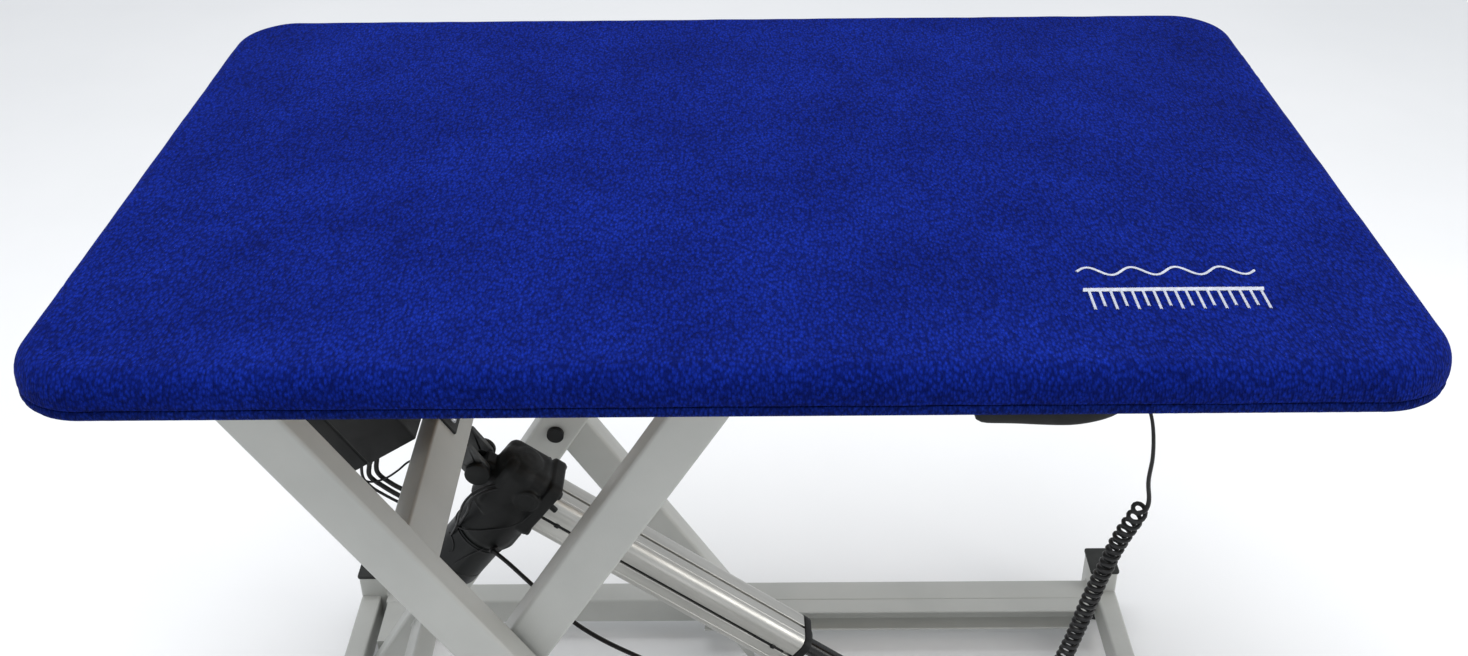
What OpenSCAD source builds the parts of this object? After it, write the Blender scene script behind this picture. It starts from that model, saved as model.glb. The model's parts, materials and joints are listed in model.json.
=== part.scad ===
// Electric X-lift pet grooming table with a fitted towelling cover.
// Frame: origin on the floor under the middle of the table, +X to the right
// along the table, +Y to the back, +Z up. Millimetres.
// The drive end with the fixed pivots is on the left, the rollers run on the right.

/* [Lift] */
// Angle of the scissor arms above the floor, in degrees, as the table is built here
arm_angle = 58; // [50:1:60]
// Length of a scissor arm between its end pivots
arm_length = 920; // [900:5:940]
// X position of the fixed pivots at the left end
pivot_x = -456; // [-460:1:-450]
// Height of the lower pivots and roller axles above the floor
pivot_z = 45; // [44:1:46]

/* [Table top] */
// Length of the cover, along X
cover_length = 1100; // [1095:5:1140]
// Depth of the cover, along Y
cover_depth = 708; // [700:2:730]
// Height of the cover, from hem to top
cover_height = 40; // [38:1:42]
// Plan radius of the cover's corners
cover_radius = 64; // [55:1:75]
// Thickness of the towelling as a plain shell
cover_wall = 3; // [2:0.5:4]
// How far the hem is drawn in under the board
hem_reach = 34; // [30:1:34]
// Thickness of the table board
board_height = 18; // [16:1:18]

/* [Frame tubes] */
// Width of a scissor arm's tube, across the arm
arm_width = 48; // [44:1:50]
// Thickness of a scissor arm's tube, along Y
arm_depth = 30; // [26:1:30]
// Wall of the square and rectangular tubes
tube_wall = 2.5; // [1.5:0.5:3]
// Height of the base rails
rail_height = 40; // [36:1:42]
// Depth of the base's long rails, along Y
rail_depth = 36; // [32:1:38]
// Outside length of the base
base_length = 1037; // [1020:1:1050]
// Outside depth of the base's long rails
base_depth = 624; // [620:1:630]

/* [Rollers] */
// Diameter of a roller
roller_diameter = 27; // [24:0.5:27.2]
// Width of a roller
roller_width = 16; // [12:1:17]
// Diameter of the pivot pins and roller axles
pin_diameter = 14; // [12:1:16]

/* [Actuator] */
// Distance of the actuator's upper pin from the arm crossing, along the arm
drive_offset = 106; // [100:1:110]
// X position of the actuator's lower pin
drive_x = 308; // [305:1:315]
// Height of the actuator's lower pin above the floor
drive_z = 78; // [77:1:82]
// Side of the actuator's aluminium profile
profile_side = 51; // [46:1:51]
// Diameter of the actuator's rod
rod_diameter = 20; // [16:1:24]

/* [Hidden] */
$fn = 48;

paint = [0.66, 0.68, 0.67];
black = [0.08, 0.08, 0.09];
steel = [0.62, 0.62, 0.64];
alloy = [0.74, 0.74, 0.73];
blue = [0.02, 0.08, 0.55];
birch = [0.62, 0.47, 0.3];

gap = 0.3;
fit = 0.05;
eps = 1;

// Scissor geometry
half_arm = arm_length / 2;
top_pivot_z = pivot_z + arm_length * sin(arm_angle);
cross_x = pivot_x + half_arm * cos(arm_angle);
cross_z = pivot_z + half_arm * sin(arm_angle);
roller_x = pivot_x + arm_length * cos(arm_angle);
arm_end = 18;
inner_y = 165;
outer_y = 200;

// Heights of the base
rail_top = pivot_z + 17;
rail_bottom = rail_top - rail_height;
rail_y = base_depth / 2 - rail_depth;
side_rail_width = 26.5;

// Tracks
track_depth = 24;
track_height = 34;
track_wall = 3;
track_left = -46;
track_right = 476;
top_rail_y = 262;
top_rail_depth = 25;
top_rail_height = 50;

// Posts
post_length = 36;
post_depth = 46;
post_y = 289;
post_top = rail_top + 31;
cap_height = 5;
cap_rim = 1.5;

// Stack of the table top
board_z = top_pivot_z + 34;
mat_height = 2.7;
board_inset = 10;
mat_inset = 16;
cover_top = board_z + board_height + mat_height + gap + cover_wall;
frame_length = 1028;
frame_side_width = 25;

// Actuator geometry
drive_top_x = cross_x - drive_offset * cos(arm_angle);
drive_top_z = cross_z + drive_offset * sin(arm_angle);
drive_run = drive_x - drive_top_x;
drive_fall = drive_top_z - drive_z;
drive_angle = atan2(drive_fall, drive_run);
drive_length = sqrt(drive_run * drive_run + drive_fall * drive_fall);
motor_x = 51;
housing_end = 84;
profile_end = 421;
profile_drop = 5;
end_cap_end = 436;
rod_length = 300;
rod_end = 16;

// Handset
handset_x = 183;
handset_length = 122;
handset_y = -335;
handset_depth = 42;
handset_z = 820;
handset_height = 21;

// Handset cord: hangs from the handset, coiled for its first part, to a tie on the motor
cord_size = 3.8;
lead_size = 4.6;
coil_size = 13.5;
tail_route = [
    [313.3, -314, 831], [317, -315.5, 830], [320.5, -318, 826], [323.5, -322, 817],
    [325.5, -326, 803], [326.5, -329, 785], [326, -330, 762], [324.5, -330, 741]
];
coil_route = [
    [324.5, -330, 740], [320.5, -330, 727], [314.5, -330, 713], [308.5, -330, 696],
    [303.5, -330, 677], [298.5, -330, 658], [294, -330, 638], [289, -330, 615],
    [284, -330, 592], [277, -329, 562], [268.5, -327, 532], [258.5, -323.5, 504],
    [246, -318, 479]
];
lead_route = [
    [245.5, -317.8, 478], [232, -311, 463], [212, -302, 451], [186, -290, 442],
    [154, -274, 434], [116, -256, 423], [74, -237, 412], [30, -216, 402],
    [-14, -195, 395], [-58, -174, 393], [-100, -154, 397], [-136, -137, 403],
    [-166, -120, 411], [-192, -99, 420], [-217, -77, 428], [-241, -54, 433],
    [-262, -33.5, 434]
];

// ---------- Shared shapes ----------

// A box between two corners
module box(low, high) {
    translate(low) cube(high - low);
}

// A rectangular tube along X, from x0 to x1, centred on Y and Z; its ends are open,
// or closed by a welded plate
module tube_x(x0, x1, depth, height, left_plate = false, right_plate = false) {
    hollow_x0 = left_plate ? x0 + tube_wall : x0 - eps;
    hollow_x1 = right_plate ? x1 - tube_wall : x1 + eps;
    difference() {
        box([x0, -depth / 2, -height / 2], [x1, depth / 2, height / 2]);
        box([hollow_x0, -depth / 2 + tube_wall, -height / 2 + tube_wall],
            [hollow_x1, depth / 2 - tube_wall, height / 2 - tube_wall]);
    }
}

// A rectangular tube along Y, from y0 to y1, centred on X and Z
module tube_y(y0, y1, length, height) {
    rotate([0, 0, 90]) tube_x(y0, y1, length, height);
}

// A round bar along Y, from y0 to y1
module bar_y(y0, y1, diameter) {
    translate([0, y0, 0]) rotate([-90, 0, 0]) cylinder(d = diameter, h = y1 - y0);
}

// A flat plate with round corners in plan, from z0 to z1
module round_plate(length, depth, radius, z0, z1) {
    translate([0, 0, z0]) linear_extrude(z1 - z0) round_outline(length, depth, radius);
}

module round_outline(length, depth, radius) {
    square([length, depth - 2 * radius], center = true);
    square([length - 2 * radius, depth], center = true);
    for (sx = [-1, 1], sy = [-1, 1])
        translate([sx * (length / 2 - radius), sy * (depth / 2 - radius)]) circle(radius);
}

// The same children at the front and, mirrored, at the back
module both_sides() {
    for (side = [0, 1]) mirror([0, side, 0]) children();
}

// Places: the inner arms' frame, the outer arms' frame and the actuator's frame.
// X runs along the arm or the rod, Z is square to it.
module on_inner() { translate([cross_x, 0, cross_z]) rotate([0, -arm_angle, 0]) children(); }
module on_outer() { translate([cross_x, 0, cross_z]) rotate([0, arm_angle, 0]) children(); }
module on_drive() {
    translate([drive_top_x, 0, drive_top_z]) rotate([0, drive_angle, 0]) children();
}

// ---------- Base ----------

module base_long_rail() {
    color(paint) translate([0, rail_y + rail_depth / 2, (rail_top + rail_bottom) / 2])
        tube_x(-base_length / 2 + post_length, base_length / 2 - post_length,
            rail_depth, rail_height);
}

module base_side_rail(side) {
    color(paint) translate([side * (base_length - side_rail_width) / 2, 0,
            (rail_top + rail_bottom) / 2])
        tube_y(-post_y, post_y, side_rail_width, rail_height);
}

// C-channel with its open side towards the middle of the table
module track(z_mid, y_back) {
    color(paint) difference() {
        box([track_left, y_back - track_depth, z_mid - track_height / 2],
            [track_right, y_back, z_mid + track_height / 2]);
        box([track_left - eps, y_back - track_depth - eps,
                z_mid - track_height / 2 + track_wall],
            [track_right + eps, y_back - track_wall, z_mid + track_height / 2 - track_wall]);
    }
}

module base_front_rail() { mirror([0, 1, 0]) base_long_rail(); }
module base_rear_rail() { base_long_rail(); }
module base_left_rail() { base_side_rail(-1); }
module base_right_rail() { base_side_rail(1); }
module base_front_track() { mirror([0, 1, 0]) track(pivot_z, rail_y); }
module base_rear_track() { track(pivot_z, rail_y); }

module actuator_beam() {
    color(paint) translate([0, 0, (rail_top + rail_bottom) / 2])
        tube_x(drive_x - 28, base_length / 2 - side_rail_width, 44, rail_height,
            left_plate = true);
}

// Two ears on a foot plate; the eye of the rod works between them
ear_gap = 22;
ear_wall = 6;
module ears(height, length, diameter) {
    both_sides() difference() {
        union() {
            box([-length / 2, ear_gap / 2, -height], [length / 2, ear_gap / 2 + ear_wall, 0]);
            bar_y(ear_gap / 2, ear_gap / 2 + ear_wall, length);
        }
        bar_y(ear_gap / 2 - eps, ear_gap / 2 + ear_wall + eps, diameter);
    }
}

module lower_clevis() {
    rise = drive_z - rail_top;
    color(paint) translate([drive_x, 0, drive_z]) {
        ears(rise, 28, 12 + 2 * fit);
        both_sides() bar_y(ear_gap / 2 + gap, ear_gap / 2 + ear_wall + 5, 12);
        both_sides() bar_y(ear_gap / 2 + ear_wall, ear_gap / 2 + ear_wall + 5, 18);
    }
}

module at_posts() {
    for (sx = [0, 1], sy = [0, 1]) mirror([sx, 0, 0]) mirror([0, sy, 0])
        translate([base_length / 2 - post_length, post_y, 0]) children();
}

module corner_posts() {
    color(paint) at_posts() difference() {
        box([0, 0, rail_bottom], [post_length, post_depth, post_top]);
        box([tube_wall, tube_wall, rail_bottom - eps],
            [post_length - tube_wall, post_depth - tube_wall, post_top + eps]);
    }
}

module post_caps() {
    plug_gap = tube_wall + gap;
    color(black) at_posts() {
        box([-cap_rim, -cap_rim, post_top],
            [post_length + cap_rim, post_depth + cap_rim, post_top + cap_height]);
        box([plug_gap, plug_gap, post_top - 12],
            [post_length - plug_gap, post_depth - plug_gap, post_top]);
    }
}

module rubber_feet() {
    color(black) at_posts() translate([post_length / 2, post_depth / 2, 0]) {
        cylinder(d1 = 32, d2 = 38, h = rail_bottom);
        translate([0, 0, rail_bottom]) cylinder(d = 24, h = 10);
    }
}

module base_pivot_blocks() {
    color(paint) both_sides() difference() {
        box([pivot_x - 24, inner_y + arm_depth + 8, rail_bottom],
            [pivot_x + 24, rail_y, rail_top]);
        translate([pivot_x, 0, pivot_z])
            bar_y(inner_y + arm_depth, rail_y - 8, pin_diameter + 2 * fit);
    }
}

module base_pivot_pins() {
    color(steel) both_sides() translate([pivot_x, 0, pivot_z]) {
        bar_y(inner_y - gap, rail_y - 10, pin_diameter);
        bar_y(inner_y - 6, inner_y - gap, 24);
        difference() {
            bar_y(inner_y + arm_depth + gap, inner_y + arm_depth + 8, 24);
            bar_y(inner_y + arm_depth, inner_y + arm_depth + 9, pin_diameter - 1);
        }
    }
}

// ---------- Scissor arms ----------

// One arm along X: a rectangular tube with a welded bush at each of its three pivots
module arm(y0, left_bore, right_bore) {
    color(paint) difference() {
        union() {
            translate([0, y0 + arm_depth / 2, 0])
                tube_x(-half_arm - arm_end, half_arm + arm_end, arm_depth, arm_width);
            for (x = [-half_arm, 0, half_arm]) translate([x, 0, 0])
                bar_y(y0 + tube_wall / 2, y0 + arm_depth - tube_wall / 2, 22);
        }
        for (end = [[-half_arm, left_bore], [0, 12], [half_arm, right_bore]])
            translate([end[0], 0, 0])
                bar_y(y0 - eps, y0 + arm_depth + eps, end[1] + 2 * fit);
    }
}

// Push-in plugs in the open ends of a pair of arms
module arm_plugs(y0) {
    color(black) both_sides() for (side = [0, 1]) mirror([side, 0, 0])
        translate([half_arm + arm_end, y0 + arm_depth / 2, 0]) {
            box([0, -arm_depth / 2, -arm_width / 2], [2.5, arm_depth / 2, arm_width / 2]);
            box([-6, -arm_depth / 2 + tube_wall + gap, -arm_width / 2 + tube_wall + gap],
                [0, arm_depth / 2 - tube_wall - gap, arm_width / 2 - tube_wall - gap]);
        }
}

module inner_arm_rear() { on_inner() arm(inner_y, pin_diameter, pin_diameter); }
module inner_arm_front() { mirror([0, 1, 0]) inner_arm_rear(); }
module inner_arm_plugs() { on_inner() arm_plugs(inner_y); }
module outer_arm_rear() { on_outer() arm(outer_y, pin_diameter, pin_diameter); }
module outer_arm_front() { mirror([0, 1, 0]) outer_arm_rear(); }
module outer_arm_plugs() { on_outer() arm_plugs(outer_y); }

module inner_lower_tube() {
    color(paint) on_inner() translate([-350, 0, 0]) tube_y(-inner_y, inner_y, 40, 25);
}
module inner_upper_tube() {
    color(paint) on_inner() translate([372, 0, 0]) tube_y(-inner_y, inner_y, 40, 25);
}

// Upper cross tube of the outer arms, which the actuator pushes
drive_tube_x = -163;
drive_tube_length = 48;
drive_tube_height = 26;
module outer_cross_tube() {
    color(paint) on_outer() translate([drive_tube_x, 0, 0])
        tube_y(-outer_y, outer_y, drive_tube_length, drive_tube_height);
}

module upper_clevis() {
    reach = drive_offset + drive_tube_x + drive_tube_length / 2;
    color(paint) on_outer() translate([-drive_offset, 0, 0]) rotate([0, 90, 0])
        ears(-reach, 25, 12 + 2 * fit);
}

module upper_clevis_pin() {
    color(steel) on_drive() {
        bar_y(-ear_gap / 2 - ear_wall - 4, ear_gap / 2 + ear_wall + 4, 12);
        both_sides() difference() {
            bar_y(ear_gap / 2 + ear_wall, ear_gap / 2 + ear_wall + 4, 18);
            bar_y(ear_gap / 2, ear_gap / 2 + ear_wall + 5, 11);
        }
    }
}

module centre_pivot_bolts() {
    color(black) translate([cross_x, 0, cross_z]) both_sides() {
        bar_y(inner_y - gap, outer_y + arm_depth, 12);
        bar_y(inner_y - 6, inner_y - gap, 20);
        bar_y(outer_y + arm_depth, outer_y + arm_depth + 6, 22);
        bar_y(inner_y + arm_depth + gap, outer_y - gap / 3, 24);
    }
}

// Roller axle: head on the inner face of the arm, spacer up to the roller
module roller_axle(arm_y, roller_y) {
    color(steel) {
        bar_y(arm_y - 2, roller_y + roller_width + 1, pin_diameter);
        bar_y(arm_y - 6, arm_y, 22);
        bar_y(arm_y + arm_depth, roller_y - gap, 20);
    }
}

base_roller_y = rail_y - track_depth + 3;
top_roller_y = top_rail_y - track_depth + 3;
module outer_roller_axles() {
    translate([roller_x, 0, pivot_z]) both_sides() roller_axle(outer_y, base_roller_y);
}
module inner_roller_axles() {
    translate([roller_x, 0, top_pivot_z]) both_sides() roller_axle(inner_y, top_roller_y);
}

module roller(y0) {
    color(black) difference() {
        bar_y(y0, y0 + roller_width, roller_diameter);
        bar_y(y0 - eps, y0 + roller_width + eps, pin_diameter + 2 * fit);
    }
}
module base_roller_rear() { translate([roller_x, 0, pivot_z]) roller(base_roller_y); }
module base_roller_front() { mirror([0, 1, 0]) base_roller_rear(); }
module top_roller_rear() { translate([roller_x, 0, top_pivot_z]) roller(top_roller_y); }
module top_roller_front() { mirror([0, 1, 0]) top_roller_rear(); }

// ---------- Control box on the outer arms ----------

box_left = -372;
box_right = -207;
box_front = -82;
box_back = 82;
box_low = -66;
box_high = 14;
flange_wall = 3;
module control_box() {
    color(black) on_outer() {
        box([box_left, box_front, box_low + 8], [box_right, box_back, box_high]);
        box([box_left + 5, box_front + 5, box_low], [box_right - 5, box_back - 5, box_low + 8]);
    }
}
module control_box_flange() {
    seat = drive_tube_height / 2;
    color(black) on_outer() {
        difference() {
            box([box_right + 2, -24, seat], [drive_tube_x + 2, 60, seat + flange_wall]);
            for (y = [-10, 46]) translate([drive_tube_x - 8, y, seat - eps])
                cylinder(d = 5, h = flange_wall + 2 * eps);
        }
        box([box_right, -24, -10], [box_right + 2, 60, seat + flange_wall]);
    }
}

// A round cable swept along a route: one ring of points at each bend
function unit(v) = v / norm(v);
function heading(route, i) =
    unit(route[min(i + 1, len(route) - 1)] - route[max(i - 1, 0)]);
function ring(route, i, radius, sides) =
    let (t = heading(route, i), u = unit(cross(t, [0.31, 0.87, 0.38])), v = cross(t, u))
    [for (k = [0:sides - 1])
        route[i] + radius * (cos(360 * k / sides) * u + sin(360 * k / sides) * v)];
// Catmull-Rom points between the route's own points
function bend(a, b, c, d, t) =
    0.5 * (2 * b + (c - a) * t + (2 * a - 5 * b + 4 * c - d) * t * t
        + (3 * b - a - 3 * c + d) * t * t * t);
function smooth(route, steps) = [
    for (i = [0:len(route) - 2], s = [0:steps - 1])
        bend(route[max(i - 1, 0)], route[i], route[i + 1],
            route[min(i + 2, len(route) - 1)], s / steps),
    route[len(route) - 1]
];
module swept(route, diameter, sides) {
    last = len(route) - 1;
    points = [for (i = [0:last]) each ring(route, i, diameter / 2, sides)];
    walls = [for (i = [0:last - 1], k = [0:sides - 1]) let (n = (k + 1) % sides)
        [i * sides + k, i * sides + n, (i + 1) * sides + n, (i + 1) * sides + k]];
    start = [for (k = [0:sides - 1]) sides - 1 - k];
    finish = [for (k = [0:sides - 1]) last * sides + k];
    polyhedron(points, concat([start, finish], walls), convexity = 8);
}

// Leads from the control box round the cross tube, in the outer arms' frame
cable_routes = [
    [[-204, -60, -54], [-196, -60, -60], [-184, -60, -69], [-165, -60, -65.5],
        [-145, -58, -60.5], [-120, -50, -58]],
    [[-204, -53, -46], [-196, -53, -52], [-182, -56, -62], [-163, -57, -58.5],
        [-144, -54, -53.5], [-120, -46, -51]]
];
module control_cables() {
    color(black) on_outer() for (route = cable_routes) swept(smooth(route, 2), 5, 8);
}

// ---------- Actuator ----------

module gearbox_housing() {
    color(black) on_drive() difference() {
        union() {
            bar_y(-ear_gap / 2 + gap, ear_gap / 2 - gap, 30);
            box([0, -ear_gap / 2 + gap, -13], [22, ear_gap / 2 - gap, 13]);
            box([19, -29, -32], [housing_end, 29, 38]);
            translate([motor_x, 0, -40]) cylinder(d = 66, h = 34);
        }
        bar_y(-ear_gap, ear_gap, 12 + 2 * fit);
    }
}

module motor() {
    color(black) on_drive() translate([motor_x, 0, 0]) {
        translate([0, 0, -138]) cylinder(d = 62, h = 98);
        translate([0, 0, -146]) cylinder(d = 54, h = 8);
    }
}

module profile_outline() {
    difference() {
        translate([profile_drop, 0]) round_outline(profile_side, profile_side, 10.5);
        circle(d = rod_diameter + 2);
        translate([profile_drop, 0]) for (a = [0:90:270])
            rotate(a) translate([profile_side / 2 - 4, -2]) square([5, 4]);
    }
}

module actuator_profile() {
    color(alloy) on_drive() translate([housing_end, 0, 0]) rotate([0, 90, 0])
        linear_extrude(profile_end - housing_end) profile_outline();
}

module profile_end_cap() {
    color(black) on_drive() translate([profile_end, 0, 0]) rotate([0, 90, 0]) difference() {
        union() {
            linear_extrude(8) translate([profile_drop, 0])
                round_outline(profile_side + 2, profile_side + 2, 11.5);
            cylinder(d = 36, h = end_cap_end - profile_end);
        }
        translate([0, 0, -eps]) cylinder(d = rod_diameter + 2 * gap, h = 30);
    }
}

module actuator_rod() {
    color(steel) on_drive() translate([drive_length - rod_end - rod_length, 0, 0])
        rotate([0, 90, 0]) cylinder(d = rod_diameter, h = rod_length);
}

module rod_eye() {
    thick = ear_gap / 2 - 1;
    color(steel) on_drive() translate([drive_length, 0, 0]) difference() {
        union() {
            bar_y(-thick, thick, 26);
            translate([-rod_end, 0, 0]) rotate([0, 90, 0]) cylinder(d = 18, h = 8);
        }
        bar_y(-thick - eps, thick + eps, 12 + 2 * fit);
    }
}

module lower_pin() {
    color(steel) translate([drive_x, 0, drive_z])
        bar_y(-ear_gap / 2 + gap, ear_gap / 2 - gap, 12);
}

// ---------- Table frame, board and cover ----------

module top_long_rail() {
    color(paint) translate([0, top_rail_y + top_rail_depth / 2, board_z - top_rail_height / 2])
        tube_x(-frame_length / 2, frame_length / 2, top_rail_depth, top_rail_height,
            left_plate = true, right_plate = true);
}
module top_side_rail(side) {
    color(paint) translate([side * (frame_length - frame_side_width) / 2, 0,
            board_z - top_rail_height / 2])
        tube_y(-top_rail_y, top_rail_y, frame_side_width, top_rail_height);
}
module top_rear_rail() { top_long_rail(); }
module top_front_rail() { mirror([0, 1, 0]) top_long_rail(); }
module top_left_rail() { top_side_rail(-1); }
module top_right_rail() { top_side_rail(1); }
module top_rear_track() { track(top_pivot_z, top_rail_y); }
module top_front_track() { mirror([0, 1, 0]) top_rear_track(); }

module top_pivot_blocks() {
    color(paint) both_sides() difference() {
        box([pivot_x - 13, outer_y + arm_depth + 3, board_z - top_rail_height],
            [pivot_x + 24, top_rail_y, board_z]);
        translate([pivot_x, 0, top_pivot_z])
            bar_y(outer_y + arm_depth, top_rail_y - 6, pin_diameter + 2 * fit);
    }
}

module top_pivot_pins() {
    color(steel) both_sides() translate([pivot_x, 0, top_pivot_z]) {
        bar_y(outer_y - gap, top_rail_y - 8, pin_diameter);
        bar_y(outer_y - 6, outer_y - gap, 24);
    }
}

module table_board() {
    color(birch) round_plate(cover_length - 2 * board_inset, cover_depth - 2 * board_inset,
        cover_radius - board_inset, board_z, board_z + board_height);
}
module rubber_mat() {
    color(black) round_plate(cover_length - 2 * mat_inset, cover_depth - 2 * mat_inset,
        cover_radius - mat_inset, board_z + board_height, board_z + board_height + mat_height);
}

// Fitted cover: closed over the board, drawn in under its edge, open below
module fitted_cover() {
    low = cover_top - cover_height;
    inside = 2 * cover_wall;
    reach = 2 * hem_reach;
    color(blue) difference() {
        round_plate(cover_length, cover_depth, cover_radius, low, cover_top);
        round_plate(cover_length - inside, cover_depth - inside, cover_radius - cover_wall,
            low + cover_wall, cover_top - cover_wall);
        round_plate(cover_length - reach, cover_depth - reach, cover_radius - 30,
            low - eps, low + cover_wall + eps);
    }
}

// ---------- Handset ----------

module handset_clip() {
    color(black) box([225, -top_rail_y - top_rail_depth - 6, 822],
        [262, -top_rail_y - top_rail_depth, 842]);
}

button_x = [38, 74];
button_size = 13;
module handset() {
    color(black) translate([handset_x, handset_y, handset_z]) difference() {
        union() {
            box([10, 0, 0], [handset_length - 8, handset_depth, handset_height]);
            box([0, 8, 0], [handset_length, handset_depth - 8, handset_height]);
            for (p = [[10, 8, 10], [10, handset_depth - 8, 10],
                    [handset_length - 8, 8, 8], [handset_length - 8, handset_depth - 8, 8]])
                translate([p[0], p[1], 0]) cylinder(r = 8, h = handset_height);
            translate([handset_length, handset_depth / 2, 11]) rotate([0, 90, 0])
                cylinder(d1 = 9, d2 = 6, h = 8);
        }
        for (x = button_x) translate([x, handset_depth / 2, -eps])
            cylinder(d = button_size + 2 * gap, h = 5 + eps);
    }
}

module button(i) {
    color([0.3, 0.3, 0.32])
        translate([handset_x + button_x[i], handset_y + handset_depth / 2, handset_z - 1.8])
        cylinder(d = button_size, h = 4.8);
}
module up_button() { button(0); }
module down_button() { button(1); }

// ---------- Handset cord ----------

module cord_tail() { color(black) swept(smooth(tail_route, 2), cord_size, 8); }
module cord_coil() { color(black) swept(smooth(coil_route, 2), coil_size, 12); }
module cord_lead() { color(black) swept(smooth(lead_route, 2), lead_size, 8); }

base_front_rail();
base_rear_rail();
base_left_rail();
base_right_rail();
base_front_track();
base_rear_track();
actuator_beam();
lower_clevis();
corner_posts();
post_caps();
rubber_feet();
base_pivot_blocks();
base_pivot_pins();
inner_arm_front();
inner_arm_rear();
inner_lower_tube();
inner_upper_tube();
inner_roller_axles();
inner_arm_plugs();
outer_arm_front();
outer_arm_rear();
outer_cross_tube();
upper_clevis();
upper_clevis_pin();
centre_pivot_bolts();
outer_roller_axles();
outer_arm_plugs();
control_box();
control_box_flange();
control_cables();
base_roller_front();
base_roller_rear();
top_roller_front();
top_roller_rear();
gearbox_housing();
motor();
actuator_profile();
profile_end_cap();
actuator_rod();
rod_eye();
lower_pin();
top_front_rail();
top_rear_rail();
top_left_rail();
top_right_rail();
top_front_track();
top_rear_track();
top_pivot_blocks();
top_pivot_pins();
table_board();
rubber_mat();
fitted_cover();
handset_clip();
handset();
up_button();
down_button();
cord_tail();
cord_coil();
cord_lead();
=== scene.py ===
import json
import math

import bmesh
import bpy
from mathutils import Matrix, Vector, noise


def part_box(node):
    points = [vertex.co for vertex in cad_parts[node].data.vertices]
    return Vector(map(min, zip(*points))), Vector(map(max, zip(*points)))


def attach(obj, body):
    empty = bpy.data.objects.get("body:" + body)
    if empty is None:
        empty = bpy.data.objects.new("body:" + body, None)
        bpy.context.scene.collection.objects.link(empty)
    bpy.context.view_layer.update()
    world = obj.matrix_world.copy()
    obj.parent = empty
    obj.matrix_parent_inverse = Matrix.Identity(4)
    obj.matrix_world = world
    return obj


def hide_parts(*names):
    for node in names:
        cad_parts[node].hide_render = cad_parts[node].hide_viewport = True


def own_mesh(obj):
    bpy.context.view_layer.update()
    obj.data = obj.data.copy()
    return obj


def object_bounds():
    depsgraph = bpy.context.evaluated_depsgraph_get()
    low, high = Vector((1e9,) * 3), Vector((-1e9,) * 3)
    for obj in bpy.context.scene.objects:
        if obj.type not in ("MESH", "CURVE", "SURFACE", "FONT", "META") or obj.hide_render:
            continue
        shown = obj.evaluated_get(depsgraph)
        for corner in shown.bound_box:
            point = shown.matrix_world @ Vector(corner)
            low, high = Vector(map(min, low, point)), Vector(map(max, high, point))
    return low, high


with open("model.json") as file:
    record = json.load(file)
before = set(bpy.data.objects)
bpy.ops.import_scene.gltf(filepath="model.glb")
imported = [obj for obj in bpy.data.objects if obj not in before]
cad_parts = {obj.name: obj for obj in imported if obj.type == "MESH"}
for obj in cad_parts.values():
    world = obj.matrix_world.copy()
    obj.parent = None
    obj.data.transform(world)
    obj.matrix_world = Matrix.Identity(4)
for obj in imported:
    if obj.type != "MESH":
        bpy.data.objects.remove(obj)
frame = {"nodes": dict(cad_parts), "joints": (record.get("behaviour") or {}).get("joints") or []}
cad_low, cad_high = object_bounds()
scene = bpy.context.scene

UP = Vector((0, 0, 1))
BACK = Vector((0, 1, 0))
QUARTER = math.radians(90)


# ---------- Places ----------

JOINTS = {joint["name"]: joint for joint in frame["joints"]}


def joint_place(name):
    return Vector(JOINTS[name]["pos_m"])


def axis_frame(origin, direction, side=BACK):
    """X along direction, Y as near as it can be to side."""
    x = Vector(direction).normalized()
    z = x.cross(Vector(side)).normalized()
    y = z.cross(x)
    place = Matrix((x, y, z)).transposed().to_4x4()
    place.translation = origin
    return place


def at(place, point, direction, side=BACK):
    """The frame of something set at a point of place, with X along direction."""
    return place @ axis_frame(Vector(point), direction, side)


BASE_PIVOT = joint_place("lift")
CROSS = joint_place("arm_cross")
TOP_PIVOT = joint_place("top_tilt")
DRIVE_PIN = joint_place("actuator_swing")
ROD_AXIS = Vector(JOINTS["rod_slide"]["axis"])
ROD_ANGLE = math.atan2(-ROD_AXIS.z, ROD_AXIS.x)

WORLD = Matrix.Identity(4)
INNER = axis_frame(CROSS, CROSS - BASE_PIVOT)
OUTER = axis_frame(CROSS, CROSS - TOP_PIVOT)
DRIVE = axis_frame(DRIVE_PIN, ROD_AXIS)
UPRIGHT = axis_frame((0, 0, 0), UP)
CROSSWISE = axis_frame((0, 0, 0), BACK, (-1, 0, 0))


def solids(node, place=WORLD):
    """The boxes of a CAD node's separate solids, in the frame of place."""
    mesh = frame["nodes"][node].data
    back = place.inverted()
    keys = [tuple(round(c, 5) for c in v.co) for v in mesh.vertices]
    owner = {key: key for key in keys}

    def root(key):
        while owner[key] != key:
            owner[key] = owner[owner[key]]
            key = owner[key]
        return key

    for face in mesh.polygons:
        first = root(keys[face.vertices[0]])
        for index in face.vertices[1:]:
            owner[root(keys[index])] = first
    groups = {}
    for key in owner:
        groups.setdefault(root(key), []).append(back @ Vector(key))
    boxes = []
    for points in groups.values():
        low = Vector(min(p[i] for p in points) for i in range(3))
        high = Vector(max(p[i] for p in points) for i in range(3))
        boxes.append((low, high))
    return sorted(boxes, key=lambda b: [round(c, 4) for c in b[0]])


# ---------- Materials ----------

def put(tree, kind, inputs=None, **settings):
    """A shader node with its inputs set or linked."""
    node = tree.nodes.new("ShaderNode" + kind)
    for key, value in settings.items():
        setattr(node, key, value)
    for key, value in (inputs or {}).items():
        if isinstance(value, bpy.types.NodeSocket):
            tree.links.new(value, node.inputs[key])
        else:
            node.inputs[key].default_value = value
    return node


def clouds(tree, where, scale, detail=2.0, rough=0.55):
    return put(tree, "TexNoise", {
        "Vector": where, "Scale": scale, "Detail": detail, "Roughness": rough}).outputs[0]


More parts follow.
